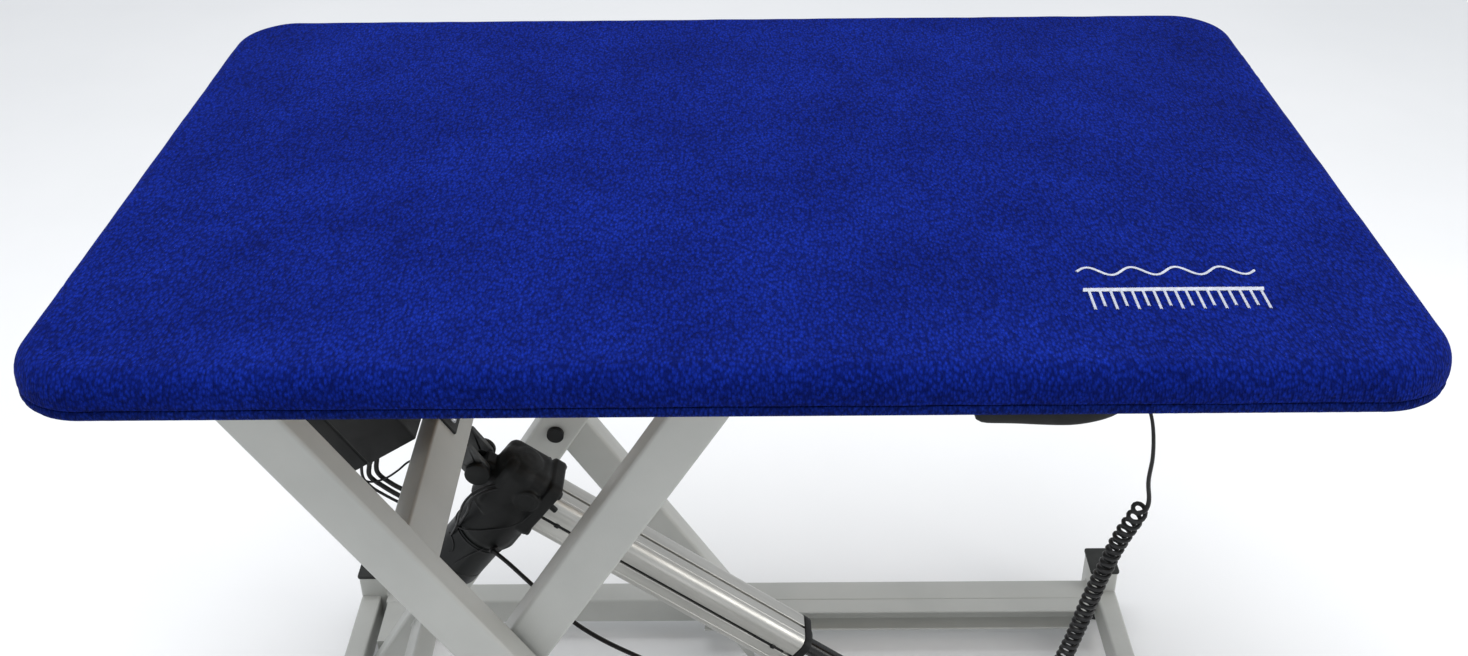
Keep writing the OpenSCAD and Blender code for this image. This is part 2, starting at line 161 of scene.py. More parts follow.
def ramp(tree, factor, stops):
    node = put(tree, "ValToRGB", {0: factor})
    band = node.color_ramp
    while len(band.elements) < len(stops):
        band.elements.new(0.5)
    for element, (place, colour) in zip(band.elements, stops):
        element.position = place
        element.color = (*colour, 1)
    return node.outputs[0]


def spread(tree, factor, low, high):
    return put(tree, "MapRange", {
        0: factor, "From Min": 0.3, "From Max": 0.7, "To Min": low, "To Max": high}).outputs[0]


def bump(tree, height, distance, strength=1.0, under=None):
    inputs = {"Height": height, "Distance": distance, "Strength": strength}
    if under is not None:
        inputs["Normal"] = under
    return put(tree, "Bump", inputs).outputs[0]


def blank(name, **sockets):
    """A new material with its tree, its shader and the object's own coordinates."""
    material = bpy.data.materials.new(name)
    material.use_nodes = True
    tree = material.node_tree
    shader = tree.nodes["Principled BSDF"]
    for key, value in sockets.items():
        shader.inputs[key.replace("_", " ")].default_value = value
    return material, tree, shader, put(tree, "TexCoord").outputs["Object"]


def stretched(tree, where, scale, turn=0.0):
    return put(tree, "Mapping", {"Vector": where, "Rotation": (0, turn, 0), "Scale": scale},
               vector_type="TEXTURE").outputs[0]


def times(tree, one, two):
    return put(tree, "MixRGB", {0: 1.0, 1: one, 2: two}, blend_type="MULTIPLY").outputs[0]


def connect(tree, shader, outputs):
    for key, output in outputs.items():
        tree.links.new(output, shader.inputs[key])


def finish(name, dark, light, rough, mottle=9.0, grain=(), turn=0.0, stretch=(1, 1, 1),
           **sockets):
    """A hard surface: mottled colour, uneven gloss and one or more layers of fine grain."""
    material, tree, shader, where = blank(name, **sockets)
    run = stretched(tree, where, stretch, turn)
    colour = ramp(tree, clouds(tree, run, mottle, 4), [(0.3, dark), (0.7, light)])
    gloss = spread(tree, clouds(tree, run, mottle * 3.1, 3), *rough)
    connect(tree, shader, {"Base Color": colour, "Roughness": gloss})
    normal = None
    for scale, distance in grain:
        normal = bump(tree, clouds(tree, run, scale, 2), distance, under=normal)
    if normal is not None:
        connect(tree, shader, {"Normal": normal})
    return material


def towelling(name, dark, light):
    """Terry: loops in close columns. The colour carries painted sheen in soft patches where the
    pile lies different ways, and painted highlights on the loops and tufts with painted shade
    between them.
    """
    material, tree, shader, where = blank(
        name, Sheen_Weight=0.06, Sheen_Roughness=0.45, Sheen_Tint=(0.12, 0.2, 0.9, 1),
        Specular_IOR_Level=0.04)
    rows = stretched(tree, where, (1.0, 1.9, 1.5))
    loops = put(tree, "TexVoronoi", {"Vector": rows, "Scale": 410.0},
                feature="F1").outputs["Distance"]
    columns = put(tree, "TexWave", {
        "Vector": where, "Scale": 150.0, "Distortion": 2.2, "Detail": 2.0,
        "Detail Scale": 1.6}, bands_direction="X").outputs[0]
    # Painted sheen: soft lighter and darker patches of blue where the pile lies different ways
    painted_nap_sheen = clouds(tree, where, 11.0, 5, 0.65)
    tufts = clouds(tree, rows, 400.0, 3, 0.6)
    base = ramp(tree, painted_nap_sheen, [(0.3, dark), (0.72, light)])
    # Painted highlight on each loop's crown and painted shade in the gaps between loops
    shade = ramp(tree, loops, [(0.1, (1.42, 1.42, 1.42)), (0.7, (0.5, 0.5, 0.54))])
    # Painted light and shade on the tufts: lighter where their bump is high, darker in the hollows
    tuft_shade = ramp(tree, tufts, [(0.3, (0.66, 0.66, 0.7)), (0.7, (1.34, 1.34, 1.3))])
    colour = times(tree, times(tree, base, shade), tuft_shade)
    rough = spread(tree, tufts, 0.86, 0.98)
    normal = bump(tree, clouds(tree, where, 38.0, 3), 0.0016, 0.6)
    normal = bump(tree, tufts, 0.0011, 0.8, normal)
    normal = bump(tree, columns, 0.0005, 0.7, normal)
    lifted = put(tree, "Math", {0: 1.0, 1: loops}, operation="SUBTRACT").outputs[0]
    normal = bump(tree, lifted, 0.0011, 0.9, normal)
    connect(tree, shader, {"Base Color": colour, "Roughness": rough, "Normal": normal})
    return material


def plywood(name):
    """Sealed board: grain along X and thin plies at the edge."""
    material, tree, shader, where = blank(name, Roughness=0.5)
    grain = stretched(tree, where, (0.5, 0.02, 1.0))
    plies = put(tree, "TexWave", {"Vector": where, "Scale": 105.0, "Distortion": 0.4},
                bands_direction="Z").outputs[0]
    wood = ramp(tree, clouds(tree, grain, 5.0, 5), [
        (0.3, (0.36, 0.22, 0.11)), (0.7, (0.6, 0.42, 0.24))])
    layer = ramp(tree, plies, [(0.3, (0.62, 0.55, 0.5)), (0.6, (1, 1, 1))])
    connect(tree, shader, {"Base Color": times(tree, wood, layer),
                           "Normal": bump(tree, plies, 0.0002)})
    return material


PAINT = finish("grey powder coat", (0.40, 0.405, 0.382), (0.465, 0.47, 0.443), (0.36, 0.5),
               mottle=7.0, grain=((1100.0, 0.00012), (160.0, 0.0001)),
               Coat_Weight=0.12, Coat_Roughness=0.35)
BLACK = finish("black moulded plastic", (0.0045, 0.005, 0.005), (0.0085, 0.0092, 0.009),
               (0.42, 0.6), mottle=20.0, grain=((1500.0, 0.0002), (260.0, 0.00008)),
               Specular_IOR_Level=0.22)
MOTOR_BLACK = finish("black motor shell", (0.0045, 0.0055, 0.0055), (0.008, 0.009, 0.009),
                     (0.34, 0.5), mottle=26.0, grain=((420.0, 0.00006),),
                     Specular_IOR_Level=0.25)
CAP_GREY = finish("dark grey caps", (0.016, 0.017, 0.016), (0.028, 0.029, 0.027),
                  (0.5, 0.68), mottle=30.0, grain=((1400.0, 0.00022),),
                  Specular_IOR_Level=0.3)
RUBBER = finish("black rubber", (0.016, 0.016, 0.016), (0.032, 0.032, 0.031), (0.68, 0.9),
                mottle=24.0, grain=((700.0, 0.0003), (90.0, 0.0001)))
CABLE = finish("black cable jacket", (0.006, 0.006, 0.0062), (0.011, 0.011, 0.0115),
               (0.36, 0.52), mottle=60.0, grain=((900.0, 0.00006),), Specular_IOR_Level=0.3)
ZINC = finish("bright zinc", (0.52, 0.53, 0.55), (0.72, 0.72, 0.72), (0.24, 0.42),
              mottle=60.0, grain=((1800.0, 0.00004),), Metallic=1.0)
# A dark metal for the clevis ears, far darker than the frame's paint
DARK_CLEVIS_METAL = finish("dark clevis metal", (0.055, 0.057, 0.058), (0.12, 0.122, 0.12), (0.4, 0.6),
                mottle=45.0, grain=((700.0, 0.0001),), Metallic=0.6)
# The rod is made nearly black, as dark as its end cap
DARK_ROD = finish("dark rod", (0.014, 0.014, 0.0145), (0.024, 0.024, 0.024), (0.22, 0.34),
                  mottle=30.0, turn=ROD_ANGLE, stretch=(0.05, 1, 1),
                  grain=((900.0, 0.00002),), Metallic=0.4)
ALLOY = finish("anodised extrusion", (0.44, 0.437, 0.41), (0.56, 0.555, 0.525), (0.32, 0.46),
               mottle=90.0, turn=ROD_ANGLE, stretch=(14, 1, 1),
               grain=((1300.0, 0.00004),), Metallic=0.85)
NYLON = finish("black nylon", (0.02, 0.02, 0.021), (0.035, 0.035, 0.036), (0.35, 0.5),
               mottle=40.0, grain=((1200.0, 0.00008),))
KEYS = finish("grey key caps", (0.12, 0.12, 0.125), (0.17, 0.17, 0.175), (0.45, 0.6),
              mottle=80.0, grain=((1600.0, 0.0001),))
THREAD = finish("white embroidery thread", (0.42, 0.45, 0.52), (0.62, 0.64, 0.7),
                (0.38, 0.55), mottle=300.0, grain=((2400.0, 0.0001),),
                Sheen_Weight=0.4, Sheen_Roughness=0.35)
TOWEL = towelling("blue terry towelling", (0.0016, 0.0085, 0.130), (0.0036, 0.0150, 0.195))
# The hem is a darker copy of the terry: painted shade on the cover's sides and turned-under edge
SHADED_HEM_TOWEL = towelling("blue terry hem in painted shade", (0.0020, 0.0090, 0.105), (0.0042, 0.0155, 0.16))
PLYWOOD = plywood("sealed plywood")


# ---------- Mesh building ----------

def loft(bm, rings, start=True, end=True, round_trip=False):
    """Faces between rings of points; the first and last rings are closed off or joined."""
    rows = [[bm.verts.new(p) for p in ring] for ring in rings]
    count = len(rows[0])
    pairs = list(zip(rows, rows[1:]))
    if round_trip:
        pairs.append((rows[-1], rows[0]))
    for one, two in pairs:
        for k in range(count):
            n = (k + 1) % count
            bm.faces.new((one[k], one[n], two[n], two[k]))
    if start and not round_trip:
        bm.faces.new(rows[0][::-1])
    if end and not round_trip:
        bm.faces.new(rows[-1])


def outline(width, depth, radius, steps=4):
    """A rounded rectangle's points, anticlockwise."""
    radius = max(min(radius, width / 2, depth / 2), 1e-5)
    points = []
    for turn, (a, b) in enumerate(((1, 1), (-1, 1), (-1, -1), (1, -1))):
        for k in range(steps + 1):
            t = QUARTER * (turn + k / steps)
            points.append((a * (width / 2 - radius) + radius * math.cos(t),
                           b * (depth / 2 - radius) + radius * math.sin(t)))
    return points


def sections(place, low, high, radius, steps, stations):
    """Rounded rectangles across X, one for each station: (x, inset from the sides)."""
    middle = (Vector(low) + Vector(high)) / 2
    size = Vector(high) - Vector(low)
    return [[place @ Vector((x, middle.y + a, middle.z + b))
             for a, b in outline(size.y - 2 * inset, size.z - 2 * inset, radius(inset), steps)]
            for x, inset in stations]


def bar(bm, place, low, high, radius, soft_end=0.0008, steps=4):
    """A solid bar or block along X with round edges; its ends are rounded by soft_end."""
    turns = [k * QUARTER / 3 for k in range(4)]
    ends = [(soft_end * (1 - math.cos(t)), soft_end * (1 - math.sin(t))) for t in turns]
    stations = [(low[0] + x, inset) for x, inset in ends]
    stations += [(high[0] - x, inset) for x, inset in reversed(ends)]
    loft(bm, sections(place, low, high, lambda inset: radius - inset, steps, stations))


def tube(bm, place, low, high, radius, wall=0.0025, steps=4):
    """An open rectangular tube along X."""
    lip = 0.0004
    least_round = 0.0008
    stations = [(low[0], lip), (low[0] + lip, 0), (high[0] - lip, 0), (high[0], lip),
                (high[0], wall), (low[0], wall)]
    rings = sections(place, low, high, lambda inset: max(radius - inset, least_round),
                     steps, stations)
    loft(bm, rings, round_trip=True)


def plug(bm, place, low, high, thick, inset, radius, soft, at_high=True):
    """A flat cap on a stem that sits inside its tube. The cap is at the high or low end."""
    face = high.x - thick if at_high else low.x + thick
    plate = (face, high.x) if at_high else (low.x, face)
    stem = (low.x, face) if at_high else (face, high.x)
    bar(bm, place, (plate[0], low.y, low.z), (plate[1], high.y, high.z), radius, soft)
    bar(bm, place, (stem[0], low.y + inset, low.z + inset),
        (stem[1], high.y - inset, high.z - inset), 0.002, 0.0005)


def lathe(bm, place, profile, sides=40, start=True, end=True):
    """A turned shape round X: profile points are (along, radius) or (along, radius, 6) for
    a hexagon of that half width."""
    rings = []
    for point in profile:
        ring = []
        for k in range(sides):
            t = 2 * math.pi * k / sides
            radius = point[1]
            if len(point) > 2:
                corner = 2 * math.pi / point[2]
                radius /= math.cos((t % corner) - corner / 2)
            ring.append(place @ Vector((point[0], radius * math.cos(t),
                                        radius * math.sin(t))))
        rings.append(ring)
    loft(bm, rings, start, end)


def rod(x0, x1, radius, edge=0.0006):
    """Profile of a turned length with broken edges."""
    return [(x0, radius - edge), (x0 + edge * 0.4, radius - edge * 0.25), (x0 + edge, radius),
            (x1 - edge, radius), (x1 - edge * 0.4, radius - edge * 0.25), (x1, radius - edge)]


def sweep(bm, points, radius, sides=8, closed=False):
    """A round cable along points; radius is a number or a function of the share along."""
    points = [Vector(p) for p in points]
    last = len(points) - 1
    normal = None
    rings = []
    for i, point in enumerate(points):
        after = points[(i + 1) % len(points)] if closed else points[min(i + 1, last)]
        before = points[i - 1] if closed else points[max(i - 1, 0)]
        along = (after - before).normalized()
        if normal is None:
            normal = along.orthogonal().normalized()
        normal = (normal - along * normal.dot(along)).normalized()
        side = along.cross(normal)
        size = radius(i / last) if callable(radius) else radius
        rings.append([point + size * (math.cos(2 * math.pi * k / sides) * normal
                                      + math.sin(2 * math.pi * k / sides) * side)
                      for k in range(sides)])
    loft(bm, rings, round_trip=closed)


def curve_points(route, steps):
    """A smooth line through the route's points."""
    route = [Vector(p) for p in route]
    out = []
    for i in range(len(route) - 1):
        a, b = route[max(i - 1, 0)], route[i]
        c, d = route[i + 1], route[min(i + 2, len(route) - 1)]
        for k in range(steps):
            t = k / steps
            out.append(0.5 * (2 * b + (c - a) * t + (2 * a - 5 * b + 4 * c - d) * t * t
                              + (3 * b - a - 3 * c + d) * t ** 3))
    return out + [route[-1]]


def bead(bm, place, corners, radius=0.0022):
    """A weld bead round a closed run of corner points."""
    path = []
    for a, b in zip(corners, corners[1:] + corners[:1]):
        a, b = Vector(a), Vector(b)
        count = max(2, int((b - a).length / 0.0022))
        path += [place @ a.lerp(b, k / count) for k in range(count)]

    def size(share):
        return radius * (0.82 + 0.25 * math.sin(share * len(path) * 1.9)
                         + 0.2 * noise.noise(Vector((share * len(path) * 0.6, radius, 0))))

    sweep(bm, path, size, 6, closed=True)


def screw(bm, place, radius, height):
    """A button-head screw along X with a socket in its head."""
    socket = radius * 0.5
    lathe(bm, place, [
        (0, radius), (height * 0.35, radius), (height * 0.8, radius * 0.86),
        (height, radius * 0.62), (height, socket, 6), (height * 0.3, socket * 0.96, 6),
        (height * 0.25, socket * 0.2, 6)], 24, start=False)


def add_object(name, data):
    made = bpy.data.objects.new(name, data)
    scene.collection.objects.link(made)
    return made


def piece(name, bm, material, body, replaces=(), smooth=38):
    """A finished piece: its mesh, material, moving body and the nodes it stands for."""
    bmesh.ops.recalc_face_normals(bm, faces=bm.faces)
    mesh = bpy.data.meshes.new(name)
    bm.to_mesh(mesh)
    bm.free()
    mesh.materials.append(material)
    mesh.shade_smooth()
    mesh.set_sharp_from_angle(angle=math.radians(smooth))
    made = add_object(name, mesh)
    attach(made, body)
    if replaces:
        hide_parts(*replaces)
    return made


def keep(node, material, edge=0.0006):
    """A CAD node whose shape is right: its own material, and broken edges."""
    made = frame["nodes"][node]
    made.data.materials.clear()
    made.data.materials.append(material)
    weld = made.modifiers.new("weld", "WELD")
    weld.merge_threshold = 1e-5
    if edge:
        soften = made.modifiers.new("edges", "BEVEL")
        soften.width = edge
        soften.segments = 2
        soften.limit_method = "ANGLE"
        soften.angle_limit = math.radians(40)
        soften.harden_normals = False
    return made


# ---------- Camera ----------

# The lens's focal length and its upward shift, in widths of the picture
FOCAL = 1.0248638
VIEW_RISE = -0.0463215259
SENSOR = 36
VIEW_YAW = math.radians(-0.39)
VIEW_PITCH = math.radians(30.94)
VIEW_ROLL = math.radians(0.64)
VIEW_FROM = Vector((0.0099, -1.2508, cad_high.z + 0.6366))


def make_camera():
    ahead = Vector((math.sin(VIEW_YAW) * math.cos(VIEW_PITCH),
                    math.cos(VIEW_YAW) * math.cos(VIEW_PITCH), -math.sin(VIEW_PITCH)))
    level = Vector((math.cos(VIEW_YAW), -math.sin(VIEW_YAW), 0))
    down = ahead.cross(level)
    right = math.cos(VIEW_ROLL) * level + math.sin(VIEW_ROLL) * down
    below = -math.sin(VIEW_ROLL) * level + math.cos(VIEW_ROLL) * down
    place = Matrix((right, -below, -ahead)).transposed().to_4x4()
    place.translation = VIEW_FROM
    data = bpy.data.cameras.new("camera")
    data.sensor_width = SENSOR
    data.lens = SENSOR * FOCAL
    data.shift_y = VIEW_RISE
    camera = add_object("camera", data)
    camera.matrix_world = place
    scene.camera = camera


make_camera()


# ---------- Handset cord ----------

CORD = 0.0038
LEAD = 0.0046
COIL_WIRE = 0.0037
COIL_WIDTH = 0.0150
COIL_PITCH = 0.0067
TURN_POINTS = 14
LOOSE_TURN = Vector((0.25, 0.74, -0.63))
TAIL_ROUTE = [
    (0.3133, -0.314, 0.831), (0.317, -0.3155, 0.830), (0.3205, -0.318, 0.826),
    (0.3235, -0.322, 0.817), (0.3255, -0.326, 0.803), (0.3265, -0.329, 0.785),
    (0.326, -0.330, 0.762), (0.3245, -0.330, 0.741)]
COIL_ROUTE = [
    (0.3245, -0.330, 0.740), (0.3205, -0.330, 0.727), (0.3145, -0.330, 0.713),
    (0.3085, -0.330, 0.696), (0.3035, -0.330, 0.677), (0.2985, -0.330, 0.658),
    (0.294, -0.330, 0.638), (0.289, -0.330, 0.615), (0.284, -0.330, 0.592),
    (0.277, -0.329, 0.562), (0.2685, -0.327, 0.532), (0.2585, -0.3235, 0.504),
    (0.246, -0.318, 0.479)]
LEAD_ROUTE = [
    (0.2455, -0.3178, 0.478), (0.232, -0.311, 0.463), (0.212, -0.302, 0.451),
    (0.186, -0.290, 0.442), (0.154, -0.274, 0.434), (0.116, -0.256, 0.423),
    (0.074, -0.237, 0.412), (0.030, -0.216, 0.402), (-0.014, -0.195, 0.395),
    (-0.058, -0.174, 0.393), (-0.100, -0.154, 0.397), (-0.136, -0.137, 0.403),
    (-0.166, -0.120, 0.411), (-0.192, -0.099, 0.420), (-0.217, -0.077, 0.428),
    (-0.241, -0.054, 0.433), (-0.262, -0.0335, 0.434)]


def even(points, step):
    """The same line with points a step apart."""
    out = [points[0].copy()]
    left = step
    for a, b in zip(points, points[1:]):
        length = (b - a).length
        done = 0.0
        while length - done >= left:
            done += left
            out.append(a.lerp(b, done / length))
            left = step
        left -= length - done
    return out


def coil_line():
    """The wire's line round the coil's own centre line."""
    fine = even(curve_points(COIL_ROUTE, 12), COIL_PITCH / TURN_POINTS / 4)
    centre = []
    place = 0.0
    while place < len(fine):
        centre.append(fine[int(place)])
        turns_left = (len(fine) - place) / (4 * TURN_POINTS)
        place += 4 + 1.8 * math.exp(-len(centre) / (2.5 * TURN_POINTS))
        place += 16 * math.exp(-turns_left / 1.8)
    last = len(centre) - 1
    reach = (COIL_WIDTH - COIL_WIRE) / 2
    normal = Vector((1, 0, 0))
    wire = []
    for i, point in enumerate(centre):
        along = (centre[min(i + 1, last)] - centre[max(i - 1, 0)]).normalized()
        loose = 0.85 / (1 + (i / (2.2 * TURN_POINTS)) ** 2)
        along = along.lerp(LOOSE_TURN, loose).normalized()
        normal = (normal - along * normal.dot(along)).normalized()
        side = along.cross(normal)
        t = 2 * math.pi * i / TURN_POINTS
        grow = min(1.0, (last - i) / (TURN_POINTS * 1.5))
        lean = 1 + 0.05 * math.sin(i * 0.037)
        size = reach * grow * lean
        wire.append(point + size * (math.cos(t) * normal + math.sin(t) * side))
    return wire


def make_cord():
    coil = coil_line()
    tail = even(curve_points(TAIL_ROUTE[:-1] + [coil[0]], 6), 0.003)
    lead = even(curve_points(LEAD_ROUTE, 6), 0.004)
    path = tail[:-1] + coil[1:-2] + lead[1:]
    first, last = len(tail), len(tail) + len(coil) - 4
    # Ease the places where the coil meets the tail and the lead
    for joint in (first - 1, last) * 4:
        window = range(joint - 3, joint + 4)
        eased = [(path[i - 1] + 2 * path[i] + path[i + 1]) / 4 for i in window]
        path[joint - 3:joint + 4] = eased
    bm = bmesh.new()

    def size(share):
        i = share * (len(path) - 1)
        near = min(max((i - first) / 8, 0), max((last - i) / 8, 0), 1)
        plain = CORD - 0.0010 * max(0, 1 - i / first) if i < (first + last) / 2 else LEAD
        return (plain + (COIL_WIRE - plain) * near) / 2

    sweep(bm, path, size, 8)
    made = piece("handset_cord", bm, CABLE, "table_top", ["cord_tail", "cord_coil", "cord_lead"])
    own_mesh(made)


make_cord()


# ---------- Fitted cover ----------

COVER_LOW, COVER_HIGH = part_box("fitted_cover")
COVER_LENGTH = COVER_HIGH.x - COVER_LOW.x
COVER_DEPTH = COVER_HIGH.y - COVER_LOW.y
COVER_TOP = COVER_HIGH.z
CLOTH_TOP = COVER_TOP - 0.0004
CORNER = 0.064
EDGE_ROUND = 0.020
SEAM_DROP = 0.0285
FLAT_INSET = 0.045
HEM_REACH = 0.034
CLOTH = 0.0025
CREASES = [
    ((-0.512, -0.318), (-0.468, -0.276), 0.0045, 0.0011),
    ((0.552, 0.205), (0.512, 0.228), 0.004, 0.0014),
    ((0.552, 0.168), (0.522, 0.186), 0.0035, 0.0012),
    ((0.552, 0.240), (0.520, 0.262), 0.004, 0.0010),
    ((0.470, -0.322), (0.520, -0.290), 0.005, 0.0007),
    ((-0.545, 0.080), (-0.525, 0.120), 0.005, 0.0007),
    ((-0.552, -0.210), (-0.515, -0.190), 0.004, 0.0008),
]


def edge_point(side, share):
    """A point of the cover's outline and its outward normal. Side 0 is the front and they
    run anticlockwise; share goes from -1 to 1 between the middles of two corners."""
    long_side = side in (0, 2)
    length = COVER_LENGTH if long_side else COVER_DEPTH
    width = COVER_DEPTH if long_side else COVER_LENGTH
    straight = length / 2 - CORNER
    along = share * (straight + CORNER * math.pi / 4)
    if abs(along) <= straight:
        point, normal = Vector((along, -width / 2)), Vector((0, -1))
    else:
        sign = math.copysign(1, along)
        t = (abs(along) - straight) / CORNER
        normal = Vector((sign * math.sin(t), -math.cos(t)))
        point = Vector((sign * straight, CORNER - width / 2)) + CORNER * normal
    turn = Matrix.Rotation(QUARTER * side, 2)
    return turn @ point, turn @ normal


def crease(x, y):
    drop = 0.0
    for a, b, width, depth in CREASES:
        a, b, p = Vector(a), Vector(b), Vector((x, y))
        run = b - a
        t = (p - a).dot(run) / run.length_squared
        off = (p - a - run * t).length / width
        fade = max(0.0, 1 - (2 * t - 1) ** 4) if 0 < t < 1 else 0.0
        drop += depth * fade * (0.5 * math.exp(-(off - 1.6) ** 2) - math.exp(-off * off))
    return drop


def swell(x, y):
    """Small unevenness of the cloth over the mat."""
    broad = noise.noise(Vector((x * 7, y * 7, 2.3)))
    fine = noise.noise(Vector((x * 34, y * 34, 7.1)))
    rim = min(COVER_LENGTH / 2 - abs(x), COVER_DEPTH / 2 - abs(y))
    near = max(0.0, 1 - rim / 0.09)
    return 0.0004 * broad + (0.00012 + 0.0004 * near) * fine + crease(x, y)


def outline_run(cells_long, cells_short):
    """Side and share of each point round the outline."""
    run = []
    for side in range(4):
        cells = cells_long if side in (0, 2) else cells_short
        run += [(side, 2 * k / cells - 1) for k in range(cells)]
    return run


def bridge(bm, one, two):
    """Faces between two closed rows of points."""
    for k in range(len(one)):
        n = (k + 1) % len(one)
        bm.faces.new((one[k], two[k], two[n], one[n]))


def side_profile():
    """From the flat top over the rounded edge to the seam: (inset, drop)."""
    turns = [math.radians(9) * k for k in range(11)]
    bend = [(EDGE_ROUND * (1 - math.sin(t)), EDGE_ROUND * (1 - math.cos(t))) for t in turns]
    lead_in = [(0.036, 0.0), (0.028, 0.0001), (0.0235, 0.0001)]
    down = [(-0.0002, 0.0232), (0.0, 0.0256), (0.0006, 0.0272), (0.0019, SEAM_DROP)]
    return lead_in + bend + down


HEM_PROFILE = [
    (0.0019, SEAM_DROP), (0.0009, 0.0293), (0.0003, 0.0304), (0.0001, 0.0325),
    (0.0006, 0.0350), (0.0021, 0.0375), (0.0046, 0.0391), (0.0085, 0.0398), (0.013, 0.04),
    (0.0185, 0.0399), (0.024, 0.0397), (0.029, 0.0395), (0.0325, 0.0391), (0.0338, 0.038),
    (0.0335, 0.0366)]


def flat_place(a, b):
    """Where a point of the unit square falls on the cover's flat part."""
    t = max(abs(a), abs(b))
    if t < 1e-9:
        return Vector((0, 0))
    a, b = a / t, b / t
    if abs(b) >= abs(a):
        side, share = (0, a) if b < 0 else (2, -a)
    else:
        side, share = (1, b) if a > 0 else (3, -b)
    point, normal = edge_point(side, share)
    return t * (point - FLAT_INSET * normal)


def cover_flat(bm, cells_long, cells_short):
    """The flat part's faces; gives its rim back, in the outline's order."""
    grid = {}
    for i in range(cells_long + 1):
        for j in range(cells_short + 1):
            flat = flat_place(2 * i / cells_long - 1, 2 * j / cells_short - 1)
            grid[i, j] = bm.verts.new((flat.x, flat.y, CLOTH_TOP + swell(*flat)))
    for i in range(cells_long):
        for j in range(cells_short):
            bm.faces.new((grid[i, j], grid[i + 1, j], grid[i + 1, j + 1], grid[i, j + 1]))
    rim = [grid[i, 0] for i in range(cells_long)]
    rim += [grid[cells_long, j] for j in range(cells_short)]
    rim += [grid[cells_long - i, cells_short] for i in range(cells_long)]
    return rim + [grid[0, cells_short - j] for j in range(cells_short)]


def make_cover_top(cells_long=154, cells_short=98):
    """The flat top, and rows down over the rounded edge to the seam."""
    bm = bmesh.new()
    previous = cover_flat(bm, cells_long, cells_short)
    run = outline_run(cells_long, cells_short)
    for inset, drop in side_profile():
        down = drop / SEAM_DROP
        row = []
        for side, share in run:
            point, normal = edge_point(side, share)
            flat = point - inset * normal
            wave = swell(*flat)
            out = 0.0006 * down * noise.noise(Vector((flat.x * 16, flat.y * 16, drop * 40)))
            flat += normal * (out + wave * down)
            row.append(bm.verts.new((flat.x, flat.y, CLOTH_TOP - drop + wave * (1 - down))))
        bridge(bm, previous, row)
        previous = row
    return bm


def gather(flat, run_length):
    """How strongly the elastic gathers the hem here, and the gathers' own wave."""
    corner = Vector((COVER_LENGTH / 2, COVER_DEPTH / 2))
    near = math.exp(-((Vector((abs(flat.x), abs(flat.y))) - corner).length / 0.17) ** 2)
    right = max(0.0, min(1.0, (flat.x - 0.22) / 0.12))
    drift = noise.noise(Vector((run_length * 5, 1.7, 0)))
    strength = 0.16 + 0.5 * near + 0.42 * right + 0.25 * drift
    phase = run_length / 0.0165 + 1.6 * noise.noise(Vector((run_length * 22, 0, 4.1)))
    wave = math.sin(2 * math.pi * phase) + 0.5 * math.sin(4.6 * math.pi * phase + 1)
    return max(0.06, strength), wave


def make_hem(cells_long=380, cells_short=240):
    bm = bmesh.new()
    run = outline_run(cells_long, cells_short)
    step = 2 * (COVER_LENGTH + COVER_DEPTH) / len(run)
    rows = []
    for inset, drop in HEM_PROFILE:
        row = []
        share_in = min(1.0, max(0.0, (inset + drop - SEAM_DROP - 0.002) / 0.034))
        under = min(1.0, inset / HEM_REACH)
        for k, (side, share) in enumerate(run):
            point, normal = edge_point(side, share)
            flat = point - inset * normal
            strength, wave = gather(flat, k * step)
            lift = 0.0014 * strength * wave * share_in + 0.0022 * strength * wave * under
            pull = 0.0009 * strength * wave * (1 - under) * min(1, 3 * share_in)
            flat += normal * (pull - 0.0015 * strength * under * (1 + wave))
            row.append(bm.verts.new((flat.x, flat.y, CLOTH_TOP - drop + lift)))
        rows.append(row)
    for one, two in zip(rows, rows[1:]):
        bridge(bm, one, two)
    return bm


def thicken(made, thickness):
    shell = made.modifiers.new("cloth", "SOLIDIFY")
    shell.thickness = thickness
    shell.offset = -1


def make_cover():
    top = piece("terry_cover", make_cover_top(), TOWEL, "table_top", ["fitted_cover"], smooth=180)
    thicken(top, CLOTH)
    hem = piece("terry_hem", make_hem(), SHADED_HEM_TOWEL, "table_top", smooth=180)
    thicken(hem, 0.0018)


# ---------- Embroidered motif ----------

MOTIF = Vector((0.352, -0.243))


def satin(bm, path, width, spacing=0.00075, thread=0.00042):
    """Stitches side by side across a stroke."""
    path = even([Vector((*p, 0)) for p in path], spacing)
    for k in range(len(path) - 1):
        along = (path[k + 1] - path[k]).normalized()
        across = Vector((-along.y, along.x, 0)) + 0.22 * along
        reach = width / 2 * (1 + 0.08 * math.sin(k * 2.7) + 0.06 * math.sin(k * 0.9))
        line = []
        for t in (-1, -0.75, 0, 0.75, 1):
            p = path[k] + across * reach * t
            height = COVER_TOP + swell(p.x, p.y) - 0.0002 + 0.0007 * (1 - t * t)
            line.append(Vector((p.x, p.y, height)))
        sweep(bm, line, thread, 5)


def make_motif():
    """A plain comb under a running line."""
    bm = bmesh.new()
    left, right = MOTIF.x - 0.072, MOTIF.x + 0.072
    spine = MOTIF.y + 0.004
    satin(bm, [(left, spine), (right, spine)], 0.0048)
    for k in range(17):
        x = left + 0.004 + k * (right - left - 0.008) / 16
        satin(bm, [(x, spine - 0.002), (x, spine - 0.029 + 0.004 * (k % 2))], 0.0017)
    wave = [(left + 0.144 * k / 60, MOTIF.y + 0.032 + 0.006 * math.sin(k * 0.42))
            for k in range(61)]
    satin(bm, wave, 0.0020)
    piece("embroidered_comb", bm, THREAD, "table_top", smooth=60)


make_cover()
make_motif()


# ---------- Painted frame ----------

TUBE_ROUND = 0.0035


def frame_tube(node, body, place=WORLD, radius=TUBE_ROUND):
    bm = bmesh.new()
    for low, high in solids(node, place):
        tube(bm, place, low, high, radius)
    return piece(node + "_tube", bm, PAINT, body, [node])


